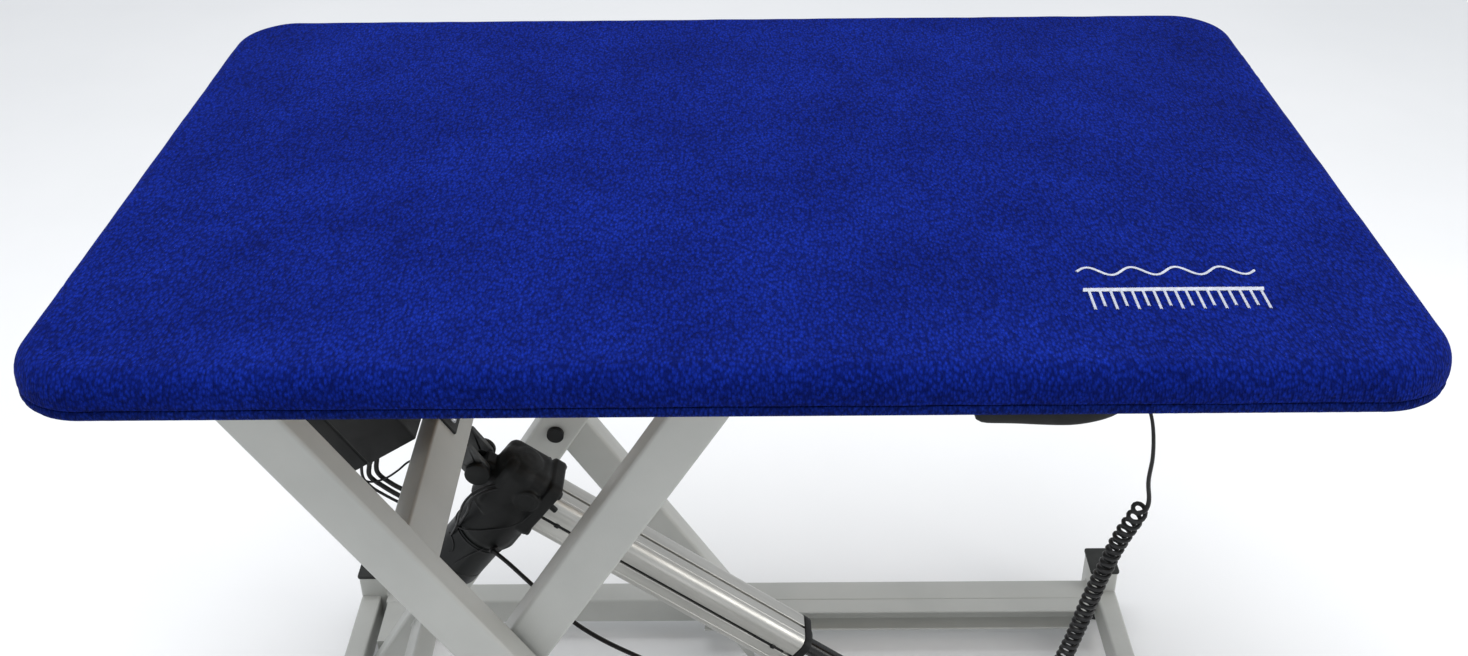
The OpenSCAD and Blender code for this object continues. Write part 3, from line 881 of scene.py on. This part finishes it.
def make_base():
    for node in ("base_front_rail", "base_rear_rail", "actuator_beam"):
        frame_tube(node, "base_frame")
    for node in ("base_left_rail", "base_right_rail"):
        frame_tube(node, "base_frame", CROSSWISE)
    frame_tube("corner_posts", "base_frame", UPRIGHT, 0.003)
    bm = bmesh.new()
    rail_low, rail_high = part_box("base_rear_rail")
    for low, high in solids("corner_posts"):
        sign = math.copysign(1, low.x)
        face = high.x if sign < 0 else low.x
        y0, y1 = low.y if low.y > 0 else high.y, rail_high.y * math.copysign(1, low.y)
        corners = [(face, y0, rail_high.z), (face, y1, rail_high.z),
                   (face, y1, rail_low.z), (face, y0, rail_low.z)]
        bead(bm, WORLD, corners, 0.0019)
    piece("post_welds", bm, PAINT, "base_frame")
    for node in ("base_front_track", "base_rear_track", "lower_clevis",
                 "base_pivot_blocks"):
        keep(node, PAINT, 0.001)
    keep("base_pivot_pins", ZINC)


def make_post_caps():
    bm = bmesh.new()
    for low, high in solids("post_caps", UPRIGHT):
        plug(bm, UPRIGHT, low, high, 0.005, 0.0045, 0.0035, 0.0014)
    piece("post_cap_plugs", bm, CAP_GREY, "base_frame", ["post_caps"])


def make_feet():
    bm = bmesh.new()
    for low, high in solids("rubber_feet"):
        middle = (low + high) / 2
        place = axis_frame(Vector((middle.x, middle.y, 0)), UP)
        wide = (high.x - low.x) / 2
        seat = 0.022
        lathe(bm, place, [
            (0.0, wide - 0.0055), (0.0012, wide - 0.0035), (0.005, wide - 0.0030),
            (0.0062, wide - 0.0042), (0.0075, wide - 0.0028), (0.012, wide - 0.0020),
            (0.0135, wide - 0.0032), (0.015, wide - 0.0016), (seat - 0.0015, wide - 0.0003),
            (seat, wide - 0.0012), (seat, 0.012), (seat + 0.010, 0.0115)], 48)
    piece("rubber_feet_turned", bm, RUBBER, "base_frame", ["rubber_feet"])


def make_arms():
    """Closed rectangular tubes with welded bushes, and plugs in their ends."""
    for name, place in (("inner", INNER), ("outer", OUTER)):
        body = name + "_arm_pair"
        for side in ("front", "rear"):
            node = f"{name}_arm_{side}"
            bm = bmesh.new()
            (low, high), = solids(node, place)
            tube(bm, place, low, high, 0.0042, 0.0025, 5)
            half = (CROSS - BASE_PIVOT).length
            for x in (-half, 0, half):
                hub = axis_frame(place @ Vector((x, low.y, 0)), BACK)
                deep = high.y - low.y
                lathe(bm, hub, [(-0.0006, 0.0085), (-0.0006, 0.0128), (0.0004, 0.0145),
                                (0.0012, 0.0148)], 40, start=False, end=False)
                lathe(bm, hub, [(deep - 0.0012, 0.0148), (deep - 0.0004, 0.0145),
                                (deep + 0.0006, 0.0128), (deep + 0.0006, 0.0085)],
                      40, start=False, end=False)
            piece(node + "_tube", bm, PAINT, body, [node])
        bm = bmesh.new()
        for low, high in solids(f"{name}_arm_plugs", place):
            plug(bm, place, low, high, 0.0025, 0.0029, 0.004, 0.0012, low.x > 0)
        piece(f"{name}_arm_end_plugs", bm, CAP_GREY, body, [f"{name}_arm_plugs"])


def make_cross_tubes():
    for node, body, place in (("inner_lower_tube", "inner_arm_pair", INNER),
                              ("inner_upper_tube", "inner_arm_pair", INNER),
                              ("outer_cross_tube", "outer_arm_pair", OUTER)):
        frame_tube(node, body, place @ CROSSWISE, 0.003)
        welds = bmesh.new()
        (low, high), = solids(node, place)
        for y, way in ((low.y, 1), (high.y, -1)):
            y += way * 0.0008
            corners = [(low.x, y, low.z), (high.x, y, low.z), (high.x, y, high.z),
                       (low.x, y, high.z)]
            bead(welds, place, corners, 0.0021)
        piece(node + "_welds", welds, PAINT, body)
    keep("upper_clevis", DARK_CLEVIS_METAL, 0.001)


def make_top_frame():
    for node in ("top_front_rail", "top_rear_rail"):
        frame_tube(node, "table_top")
    for node in ("top_left_rail", "top_right_rail"):
        frame_tube(node, "table_top", CROSSWISE)
    for node in ("top_front_track", "top_rear_track", "top_pivot_blocks"):
        keep(node, PAINT, 0.001)
    keep("top_pivot_pins", ZINC)
    keep("table_board", PLYWOOD, 0.0012)
    keep("rubber_mat", RUBBER, 0.0006)


def make_rollers():
    for level in ("base", "top"):
        for side in ("front", "rear"):
            keep(f"{level}_roller_{side}", NYLON, 0.0012)
    keep("inner_roller_axles", ZINC, 0.0008)
    keep("outer_roller_axles", ZINC, 0.0008)
    keep("centre_pivot_bolts", BLACK, 0.0016)


make_base()
make_post_caps()
make_feet()
make_arms()
make_cross_tubes()
make_top_frame()
make_rollers()


# ---------- Actuator ----------

GEARBOX = solids("gearbox_housing", DRIVE)[0]
MOTOR = solids("motor", DRIVE)[0]
PROFILE = solids("actuator_profile", DRIVE)[0]
MOTOR_X = (MOTOR[0].x + MOTOR[1].x) / 2
MOTOR_R = (MOTOR[1].x - MOTOR[0].x) / 2
MOTOR_AXIS = at(DRIVE, (MOTOR_X, 0, 0), (0, 0, -1))


def cast(name, bm, voxel, rounds, material, body, replaces=()):
    """A moulded piece: its solids are fused, and the inner corners get small fillets."""
    rough = piece(name + "_rough", bm, material, body)
    fuse = rough.modifiers.new("fuse", "REMESH")
    fuse.mode = "VOXEL"
    fuse.voxel_size = voxel
    ease = rough.modifiers.new("ease", "SMOOTH")
    ease.iterations = rounds
    ease.factor = 0.5
    graph = bpy.context.evaluated_depsgraph_get()
    shape = bmesh.new()
    shape.from_mesh(rough.evaluated_get(graph).to_mesh())
    bpy.data.objects.remove(rough)
    return piece(name, shape, material, body, replaces, smooth=60)


def make_gearbox():
    low, high = GEARBOX
    back = 0.019
    lug = 0.0104
    top = high.z
    bm = bmesh.new()
    bar(bm, DRIVE, (back - 0.002, -0.0265, low.z + 0.002), (high.x - 0.012, 0.0275, top - 0.002),
        0.014, 0.009, 8)
    bar(bm, DRIVE, (high.x - 0.015, -0.029, low.z + 0.0004), (high.x - 0.0002, 0.029, top - 0.001),
        0.011, 0.0025, 7)
    dome = at(DRIVE, (MOTOR_X - 0.011, -0.001, 0), (0, 0, -1))
    lathe(bm, dome, [(-top, 0.006), (0.0012 - top, 0.015), (0.004 - top, 0.0215),
                     (0.009 - top, 0.0262), (0.016 - top, 0.0282), (0.03, 0.0285),
                     (0.036, 0.0285)], 48)
    lathe(bm, MOTOR_AXIS, [(0.0, 0.027), (0.016, 0.0315), (0.034, 0.0335), (0.058, 0.0345),
                           (0.067, 0.0342), (0.0715, 0.0325), (0.073, 0.0315)], 56)
    lathe(bm, at(DRIVE, (0.064, 0, -0.040), (0, 0, -1)),
          [(-0.012, 0.012), (0.0, 0.020), (0.012, 0.024), (0.030, 0.0245), (0.038, 0.0215),
           (0.042, 0.014)], 40)
    lug_axis = at(DRIVE, (0, -lug, 0), BACK)
    lathe(bm, lug_axis, rod(0, 2 * lug, 0.0148, 0.0012), 48)
    bar(bm, DRIVE, (0.002, -lug, -0.0125), (back + 0.008, lug, 0.0125), 0.003, 0.001)
    cover = at(DRIVE, (0.0575, -0.024, 0.0065), (0, -1, -0.1))
    lathe(bm, cover, [(0, 0.0142), (0.0052, 0.0142), (0.0068, 0.0130), (0.0070, 0.0112),
                      (0.0062, 0.0102), (0.0062, 0.001)], 40)
    cast("gearbox_casting", bm, 0.0011, 5, BLACK, "actuator_body", ["gearbox_housing"])


def make_gearbox_screws():
    """Screw bosses at the profile's end, a release knob, and screws in both sides."""
    low, high = GEARBOX
    bm = bmesh.new()
    for y in (-0.0225, 0.0225):
        for z in (low.z + 0.0085, high.z - 0.0095):
            boss = at(DRIVE, (high.x - 0.001, y, z), (1, 0, 0))
            lathe(bm, boss, [(0, 0.0050), (0.0018, 0.0048), (0.0026, 0.0042),
                             (0.0027, 0.0026, 6), (0.0012, 0.0025, 6), (0.0011, 0.0004, 6)],
                  24)
    knob = at(DRIVE, (high.x - 0.004, -0.0235, 0.0130), (1, -0.35, 0))
    lathe(bm, knob, [(0, 0.0034), (0.0105, 0.0032), (0.0118, 0.0022), (0.012, 0.0004)], 24)
    for x, z in ((0.030, 0.022), (0.066, 0.026), (0.028, -0.016)):
        screw(bm, at(DRIVE, (x, -0.0262, z), (0, -1, 0)), 0.0032, 0.0018)
        screw(bm, at(DRIVE, (x, 0.0272, z), (0, 1, 0), (0, 0, 1)),
              0.0032, 0.0018)
    piece("gearbox_screws", bm, MOTOR_BLACK, "actuator_body")


def make_motor():
    depth = -MOTOR[0].z
    bm = bmesh.new()
    r = MOTOR_R
    lathe(bm, MOTOR_AXIS, [
        (0.045, r - 0.002), (0.0735, r - 0.0008), (0.0745, r - 0.0012), (0.076, r - 0.0012),
        (0.0765, r), (depth - 0.026, r), (depth - 0.0255, r - 0.0008),
        (depth - 0.0245, r - 0.0008), (depth - 0.024, r), (depth - 0.0105, r),
        (depth - 0.0085, r - 0.0006), (depth - 0.0075, r - 0.0022),
        (depth - 0.0072, r - 0.0042), (depth - 0.002, r - 0.0046),
        (depth - 0.0006, r - 0.0056), (depth, r - 0.0075), (depth, 0.011),
        (depth - 0.0015, 0.0105), (depth - 0.0015, 0.0005)], 72)
    piece("motor_shell", bm, MOTOR_BLACK, "actuator_body", ["motor"])
    bm = bmesh.new()
    for k in range(3):
        t = math.radians(40 + 120 * k)
        spot = MOTOR_AXIS @ Vector((depth - 0.0012, 0.016 * math.cos(t), 0.016 * math.sin(t)))
        screw(bm, axis_frame(spot, MOTOR_AXIS.to_3x3() @ Vector((1, 0, 0))), 0.0027, 0.0014)
    piece("motor_screws", bm, ZINC, "actuator_body")


def tie_round(bm, place, along, radius, width):
    """A flat cable tie round a cylinder along X of place, with its head."""
    rings = []
    for k in range(72):
        t = 2 * math.pi * k / 72
        out = Vector((0, math.cos(t), math.sin(t)))
        ring = [(-width / 2, 0.0), (width / 2, 0.0), (width / 2, 0.0009), (-width / 2, 0.0009)]
        rings.append([place @ (Vector((along + x, 0, 0)) + out * (radius + h))
                      for x, h in ring])
    loft(bm, rings, round_trip=True)
    bar(bm, place, (along - 0.0024, radius - 0.0002, -0.0026),
        (along + 0.0024, radius + 0.0038, 0.0026), 0.0006, 0.0004)


def slot_side(half, radius):
    """One side of the extrusion's outline, from a corner's start to the slot's far lip."""
    mouth, deep, lip = 0.0019, 0.0040, 0.0009
    arc = [(half - radius + radius * math.cos(math.radians(a)),
            -half + radius + radius * math.sin(math.radians(a))) for a in range(-85, 1, 5)]
    slot = [(half, -mouth - 0.0004), (half - 0.0004, -mouth), (half - lip, -mouth),
            (half - lip, -mouth - 0.0012), (half - deep, -mouth - 0.0012),
            (half - deep, mouth + 0.0012), (half - lip, mouth + 0.0012),
            (half - lip, mouth), (half - 0.0004, mouth), (half, mouth + 0.0004)]
    groove = half - radius - 0.0008
    fine = [(half, groove - 0.0006), (half - 0.0006, groove), (half, groove + 0.0006)]
    return arc + slot + fine


def make_profile():
    low, high = PROFILE
    half = (high.z - low.z) / 2
    middle = (high.z + low.z) / 2
    points = []
    for quarter in range(4):
        turn = Matrix.Rotation(QUARTER * quarter, 2)
        points += [turn @ Vector(p) + Vector((0, middle)) for p in slot_side(half, 0.0105)]
    bore = [0.0112 * Vector((math.cos(2 * math.pi * k / len(points) - 1.4),
                             math.sin(2 * math.pi * k / len(points) - 1.4)))
            for k in range(len(points))]
    bm = bmesh.new()
    rings = [[DRIVE @ Vector((x, p.x, p.y)) for p in ring] for x, ring in (
        (low.x, points), (high.x, points), (high.x, bore), (low.x, bore))]
    loft(bm, rings, round_trip=True)
    piece("profile_extrusion", bm, ALLOY, "actuator_body", ["actuator_profile"], smooth=28)


def make_reed_switches():
    """Two switches in the front slot, joined by a wire."""
    low, high = PROFILE
    middle = (high.z + low.z) / 2
    bm = bmesh.new()
    face = -(high.z - low.z) / 2 - 0.0002
    for start, end in ((low.x + 0.003, low.x + 0.034), (high.x - 0.052, high.x - 0.012)):
        bar(bm, DRIVE, (start, face, middle - 0.0017), (end, face + 0.0035, middle + 0.0017),
            0.0008, 0.0005)
        bar(bm, DRIVE, (end - 0.017, face - 0.0012, middle - 0.0026),
            (end - 0.012, face + 0.002, middle + 0.0026), 0.0008, 0.0005)
    run = [(low.x + 0.030, face + 0.0012, middle), (high.x - 0.050, face + 0.0016, middle)]
    sweep(bm, [DRIVE @ Vector(p) for p in run], 0.0009, 6)
    piece("reed_switches", bm, BLACK, "actuator_body")


def make_end_cap():
    (low, high), = solids("profile_end_cap", DRIVE)
    half = (high.y - low.y) / 2
    middle = (PROFILE[0].z + PROFILE[1].z) / 2
    bm = bmesh.new()
    bar(bm, DRIVE, (low.x, -half, middle - half), (low.x + 0.0105, half, middle + half),
        0.0125, 0.0018, 7)
    nose = at(DRIVE, (low.x, 0, 0), (1, 0, 0))
    length = high.x - low.x
    lathe(bm, nose, [(0.008, 0.0195), (0.0115, 0.0185), (length - 0.002, 0.0178),
                     (length - 0.0006, 0.0172), (length, 0.016), (length, 0.0122),
                     (length - 0.002, 0.0108), (0.004, 0.0106)], 48)
    for y in (-0.0185, 0.0185):
        for z in (-0.0185, 0.0185):
            spot = at(DRIVE, (low.x + 0.0103, y, middle + z), (1, 0, 0))
            screw(bm, spot, 0.0031, 0.0018)
    piece("profile_nose_cap", bm, BLACK, "actuator_body", ["profile_end_cap"])
    keep("actuator_rod", DARK_ROD, 0)
    keep("rod_eye", ZINC, 0.0008)
    keep("lower_pin", ZINC, 0.0005)


def make_clevis_pin():
    reach = 0.0175
    bm = bmesh.new()
    centre = at(DRIVE, (0, -reach, 0), BACK)
    lathe(bm, centre, rod(-0.003, 2 * reach + 0.003, 0.006, 0.0006), 32)
    piece("clevis_pin_bar", bm, ZINC, "outer_arm_pair", ["upper_clevis_pin"])
    bm = bmesh.new()
    for way in (-1, 1):
        spot = at(DRIVE, (0, way * reach, 0), (0, way, 0), (0, 0, 1))
        lathe(bm, spot, [(0, 0.0105), (0, 0.0128), (0.0012, 0.0134), (0.0052, 0.0134),
                         (0.0064, 0.0126), (0.0069, 0.0108), (0.0070, 0.0060),
                         (0.0070, 0.0005)], 40)
    piece("clevis_pin_caps", bm, BLACK, "outer_arm_pair")


# Wires on the motor and its neck, in the actuator's frame
MOTOR_WIRES = [
    ([(0.024, -0.0235, 0.004), (0.011, -0.0262, -0.012), (0.007, -0.0275, -0.032),
      (0.012, -0.0265, -0.052), (0.020, -0.0200, -0.074), (0.024, -0.0150, -0.092)], 0.0013),
    ([(0.026, -0.0250, 0.000), (0.015, -0.0290, -0.012), (0.011, -0.0300, -0.026),
      (0.016, -0.0285, -0.042), (0.0205, -0.0215, -0.062), (0.0230, -0.0165, -0.080)], 0.0017),
    ([(0.0205, -0.0130, -0.078), (0.0240, -0.0245, -0.0705), (0.0345, -0.0312, -0.0595),
      (0.0460, -0.0345, -0.0455), (0.0575, -0.0350, -0.0330), (0.0650, -0.0345, -0.0215),
      (0.0690, -0.0320, -0.0130), (0.0710, -0.0290, -0.0050)], 0.0008),
    ([(0.0215, -0.0120, -0.0935), (0.0262, -0.0190, -0.0925), (0.0305, -0.0238, -0.0955),
      (0.0330, -0.0262, -0.1015), (0.0310, -0.0248, -0.1075)], 0.0006),
    ([(0.0560, -0.0320, -0.0750), (0.0510, -0.0318, -0.0860), (0.0460, -0.0312, -0.1000),
      (0.0430, -0.0304, -0.1120)], 0.0006),
]


def make_motor_wires():
    bm = bmesh.new()
    for route, radius in MOTOR_WIRES:
        line = curve_points(route, 8)
        sweep(bm, [DRIVE @ p for p in line], radius, 8)
    piece("motor_wires", bm, CABLE, "actuator_body")
    bm = bmesh.new()
    tie_round(bm, MOTOR_AXIS, 0.0800, MOTOR_R, 0.0022)
    piece("motor_ties", bm, CABLE, "actuator_body")


def make_lead_tie():
    """The tie that holds the lead's end on the front of the motor."""
    end = Vector(LEAD_ROUTE[-1])
    before = Vector(LEAD_ROUTE[-2])
    bm = bmesh.new()
    holder = axis_frame(end - 0.004 * (end - before).normalized(), end - before)
    tie_round(bm, holder, 0.0, 0.0026, 0.0026)
    piece("lead_tie", bm, CABLE, "actuator_body")


make_gearbox()
make_gearbox_screws()
make_motor()
make_profile()
make_reed_switches()
make_end_cap()
make_clevis_pin()
make_motor_wires()
make_lead_tie()


# ---------- Control box ----------

BOX_LOW, BOX_HIGH = solids("control_box", OUTER)[0]
CABLE_ROUTES = [
    [(-0.204, -0.060, -0.054), (-0.196, -0.060, -0.060), (-0.184, -0.060, -0.069),
     (-0.165, -0.060, -0.0655), (-0.145, -0.058, -0.0605), (-0.120, -0.050, -0.058)],
    [(-0.204, -0.053, -0.046), (-0.196, -0.053, -0.052), (-0.182, -0.056, -0.062),
     (-0.163, -0.057, -0.0585), (-0.144, -0.054, -0.0535), (-0.120, -0.046, -0.051)],
]


def make_control_box():
    """A two-part shell with a seam near its lower edge, and cooling ribs on top."""
    bm = bmesh.new()
    seam = BOX_LOW.z + 0.020
    bar(bm, OUTER, (BOX_LOW.x, BOX_LOW.y, seam + 0.0006), (BOX_HIGH.x, BOX_HIGH.y, BOX_HIGH.z),
        0.0022, 0.0022, 4)
    bar(bm, OUTER, (BOX_LOW.x + 0.0012, BOX_LOW.y + 0.0012, seam - 0.001),
        (BOX_HIGH.x - 0.0012, BOX_HIGH.y - 0.0012, seam + 0.002), 0.0005, 0.003, 4)
    bar(bm, OUTER, (BOX_LOW.x + 0.0004, BOX_LOW.y + 0.0004, BOX_LOW.z),
        (BOX_HIGH.x - 0.0004, BOX_HIGH.y - 0.0004, seam), 0.0026, 0.0026, 4)
    for k in range(9):
        x = BOX_LOW.x + 0.045 + 0.0095 * k
        bar(bm, OUTER, (x, BOX_LOW.y + 0.022, BOX_HIGH.z - 0.0002),
            (x + 0.0045, BOX_HIGH.y - 0.022, BOX_HIGH.z + 0.0009), 0.0004, 0.0004)
    piece("control_box_shell", bm, BLACK, "outer_arm_pair", ["control_box"])


def make_box_screws():
    bm = bmesh.new()
    for x in (BOX_LOW.x + 0.012, BOX_HIGH.x - 0.012):
        for y in (BOX_LOW.y + 0.012, BOX_HIGH.y - 0.012):
            spot = at(OUTER, (x, y, BOX_LOW.z + 0.0002), (0, 0, -1))
            screw(bm, spot, 0.0033, 0.0016)
    piece("control_box_screws", bm, ZINC, "outer_arm_pair")


def make_cable_glands():
    bm = bmesh.new()
    for route in CABLE_ROUTES:
        a, b = Vector(route[0]), Vector(route[1])
        gland = OUTER @ axis_frame(a - (b - a).normalized() * 0.003, b - a)
        lathe(bm, gland, [(-0.001, 0.0050), (0.004, 0.0050), (0.0045, 0.0042),
                          (0.0085, 0.0040), (0.012, 0.0030), (0.0122, 0.0022)], 24)
    piece("cable_glands", bm, RUBBER, "outer_arm_pair")


def make_flange():
    low, high = solids("control_box_flange", OUTER)[0]
    bm = bmesh.new()
    plate = high.z - 0.003
    bar(bm, OUTER, (low.x, low.y, plate), (high.x, high.y, high.z), 0.0006, 0.0006)
    bar(bm, OUTER, (low.x, low.y, low.z), (low.x + 0.002, high.y, high.z - 0.0004),
        0.0005, 0.0005)
    piece("box_flange_plate", bm, CAP_GREY, "outer_arm_pair", ["control_box_flange"])
    bm = bmesh.new()
    for y in (-0.010, 0.046):
        spot = at(OUTER, (high.x - 0.010, y, high.z), (0, 0, 1))
        lathe(bm, spot, [(0, 0.0050), (0.0008, 0.0050), (0.0009, 0.0044)], 24)
        screw(bm, spot, 0.0040, 0.0030)
    piece("flange_screws", bm, ZINC, "outer_arm_pair")


# Two thinner wires beside the leads, in the outer arms' frame
SIDE_WIRES = [
    ([(-0.206, -0.067, -0.060), (-0.190, -0.066, -0.0715), (-0.174, -0.064, -0.0735),
      (-0.158, -0.063, -0.0695), (-0.140, -0.060, -0.0650), (-0.120, -0.053, -0.062)],
     0.0015),
    ([(-0.206, -0.063, -0.062), (-0.192, -0.063, -0.0725), (-0.182, -0.062, -0.0745),
      (-0.1765, -0.062, -0.0660), (-0.1745, -0.062, -0.0540), (-0.1748, -0.060, -0.0400),
      (-0.176, -0.057, -0.0270), (-0.170, -0.050, -0.0200)], 0.0011),
]


def make_control_cables():
    bm = bmesh.new()
    for route in CABLE_ROUTES:
        sweep(bm, [OUTER @ p for p in curve_points(route, 8)], 0.0025, 10)
    for route, radius in SIDE_WIRES:
        sweep(bm, [OUTER @ p for p in curve_points(route, 8)], radius, 10)
    piece("control_leads", bm, CABLE, "outer_arm_pair", ["control_cables"])


make_control_box()
make_box_screws()
make_cable_glands()
make_flange()
make_control_cables()


# ---------- Handset ----------

HANDSET_LOW, HANDSET_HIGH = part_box("handset")


def handset_ring(x, middle, top, t):
    """The shell's outline at a share t of its length, drawn in towards the cord."""
    ease = 0.35 + 0.65 * math.sqrt(max(0.0, 1 - abs(2 * t - 1) ** (16 - 9 * t)))
    half = 0.0205 * ease * (1 - 0.28 * max(0.0, (t - 0.62) / 0.38) ** 2)
    deep = (0.0226 + 0.0013 * math.sin(7 * t - 2.6)) * ease
    deep *= 1 - 0.34 * max(0.0, (t - 0.60) / 0.40) ** 1.6
    ring = []
    for j in range(40):
        a = 2 * math.pi * j / 40
        y = half * math.copysign(abs(math.cos(a)) ** 0.55, math.cos(a))
        z = deep / 2 * math.copysign(abs(math.sin(a)) ** 0.62, math.sin(a))
        ring.append(Vector((x, middle + y, top - deep / 2 + z)))
    return ring


def make_handset_shell():
    """A slim shell, rounded under, with a fine seam along its side."""
    low, high = HANDSET_LOW, HANDSET_HIGH
    length = high.x - low.x - 0.008
    middle = (low.y + high.y) / 2
    top = high.z - 0.0002
    bm = bmesh.new()
    loft(bm, [handset_ring(low.x + length * k / 32, middle, top, k / 32) for k in range(33)])
    seam = [Vector((low.x + length * k / 40, middle - 0.0203, top - 0.008))
            for k in range(3, 30)]
    sweep(bm, seam, 0.0004, 6)
    piece("handset_shell", bm, BLACK, "table_top", ["handset"], smooth=50)
    keep("handset_clip", BLACK, 0.0012)


def make_cord_relief():
    """A ribbed sleeve where the cord leaves the handset."""
    start = Vector(TAIL_ROUTE[0])
    way = (Vector(TAIL_ROUTE[1]) - start).normalized()
    profile = [(0.0, 0.0052)]
    for k in range(6):
        x = 0.0025 + 0.0030 * k
        r = 0.0050 - 0.00036 * k
        profile += [(x, r), (x + 0.0016, r), (x + 0.0018, r - 0.0010), (x + 0.0028, r - 0.0010)]
    bm = bmesh.new()
    lathe(bm, axis_frame(start - way * 0.009, way), profile + [(0.021, 0.0025)], 24)
    piece("cord_relief", bm, RUBBER, "table_top")


def make_keys():
    """Both keys, with a plain triangle on each: one points up and one down."""
    reach = 0.0026
    corners = [(-reach, -reach * 0.7), (reach, -reach * 0.7), (0, reach)]
    for node, way in (("up_button", 1), ("down_button", -1)):
        keep(node, KEYS, 0.0006)
        low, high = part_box(node)
        centre = (low + high) / 2
        bm = bmesh.new()
        loft(bm, [[Vector((centre.x + x, centre.y + way * y, low.z + lift))
                   for x, y in corners] for lift in (-0.0003, 0.0002)])
        piece(node + "_arrow", bm, THREAD, node.replace("button", "key"))


make_handset_shell()
make_cord_relief()
make_keys()


# ---------- Studio ----------

def aimed_light(name, place, aim, width, power, colour=(1, 1, 1)):
    data = bpy.data.lights.new(name, "AREA")
    data.shape = "RECTANGLE"
    data.size = width[0]
    data.size_y = width[1]
    data.energy = power
    data.color = colour
    made = add_object(name, data)
    made.location = place
    made.rotation_euler = (Vector(aim) - Vector(place)).to_track_quat("-Z", "Y").to_euler()


def make_studio():
    floor_material = finish("pale studio floor", (0.86, 0.865, 0.87), (0.9, 0.9, 0.905),
                            (0.7, 0.9), mottle=1.4)
    bm = bmesh.new()
    bmesh.ops.create_grid(bm, x_segments=8, y_segments=8, size=9.0)
    mesh = bpy.data.meshes.new("floor")
    bm.to_mesh(mesh)
    bm.free()
    mesh.materials.append(floor_material)
    floor = add_object("floor", mesh)
    world = bpy.data.worlds.new("studio")
    world.use_nodes = True
    sky = world.node_tree.nodes["Background"]
    sky.inputs["Color"].default_value = (0.93, 0.96, 1.0, 1)
    sky.inputs["Strength"].default_value = 0.72
    scene.world = world
    aimed_light("overhead", (-0.3, -0.1, 3.2), (0, 0, 0.6), (2.4, 1.8), 68)
    aimed_light("front", (-1.2, -3.2, 1.7), (0, 0, 0.5), (2.0, 1.4), 4, (1, 0.985, 0.95))
    aimed_light("right", (2.8, -0.8, 1.3), (0, 0, 0.4), (1.6, 1.4), 26, (1, 0.98, 0.95))


make_studio()
scene.view_settings.view_transform = "Standard"
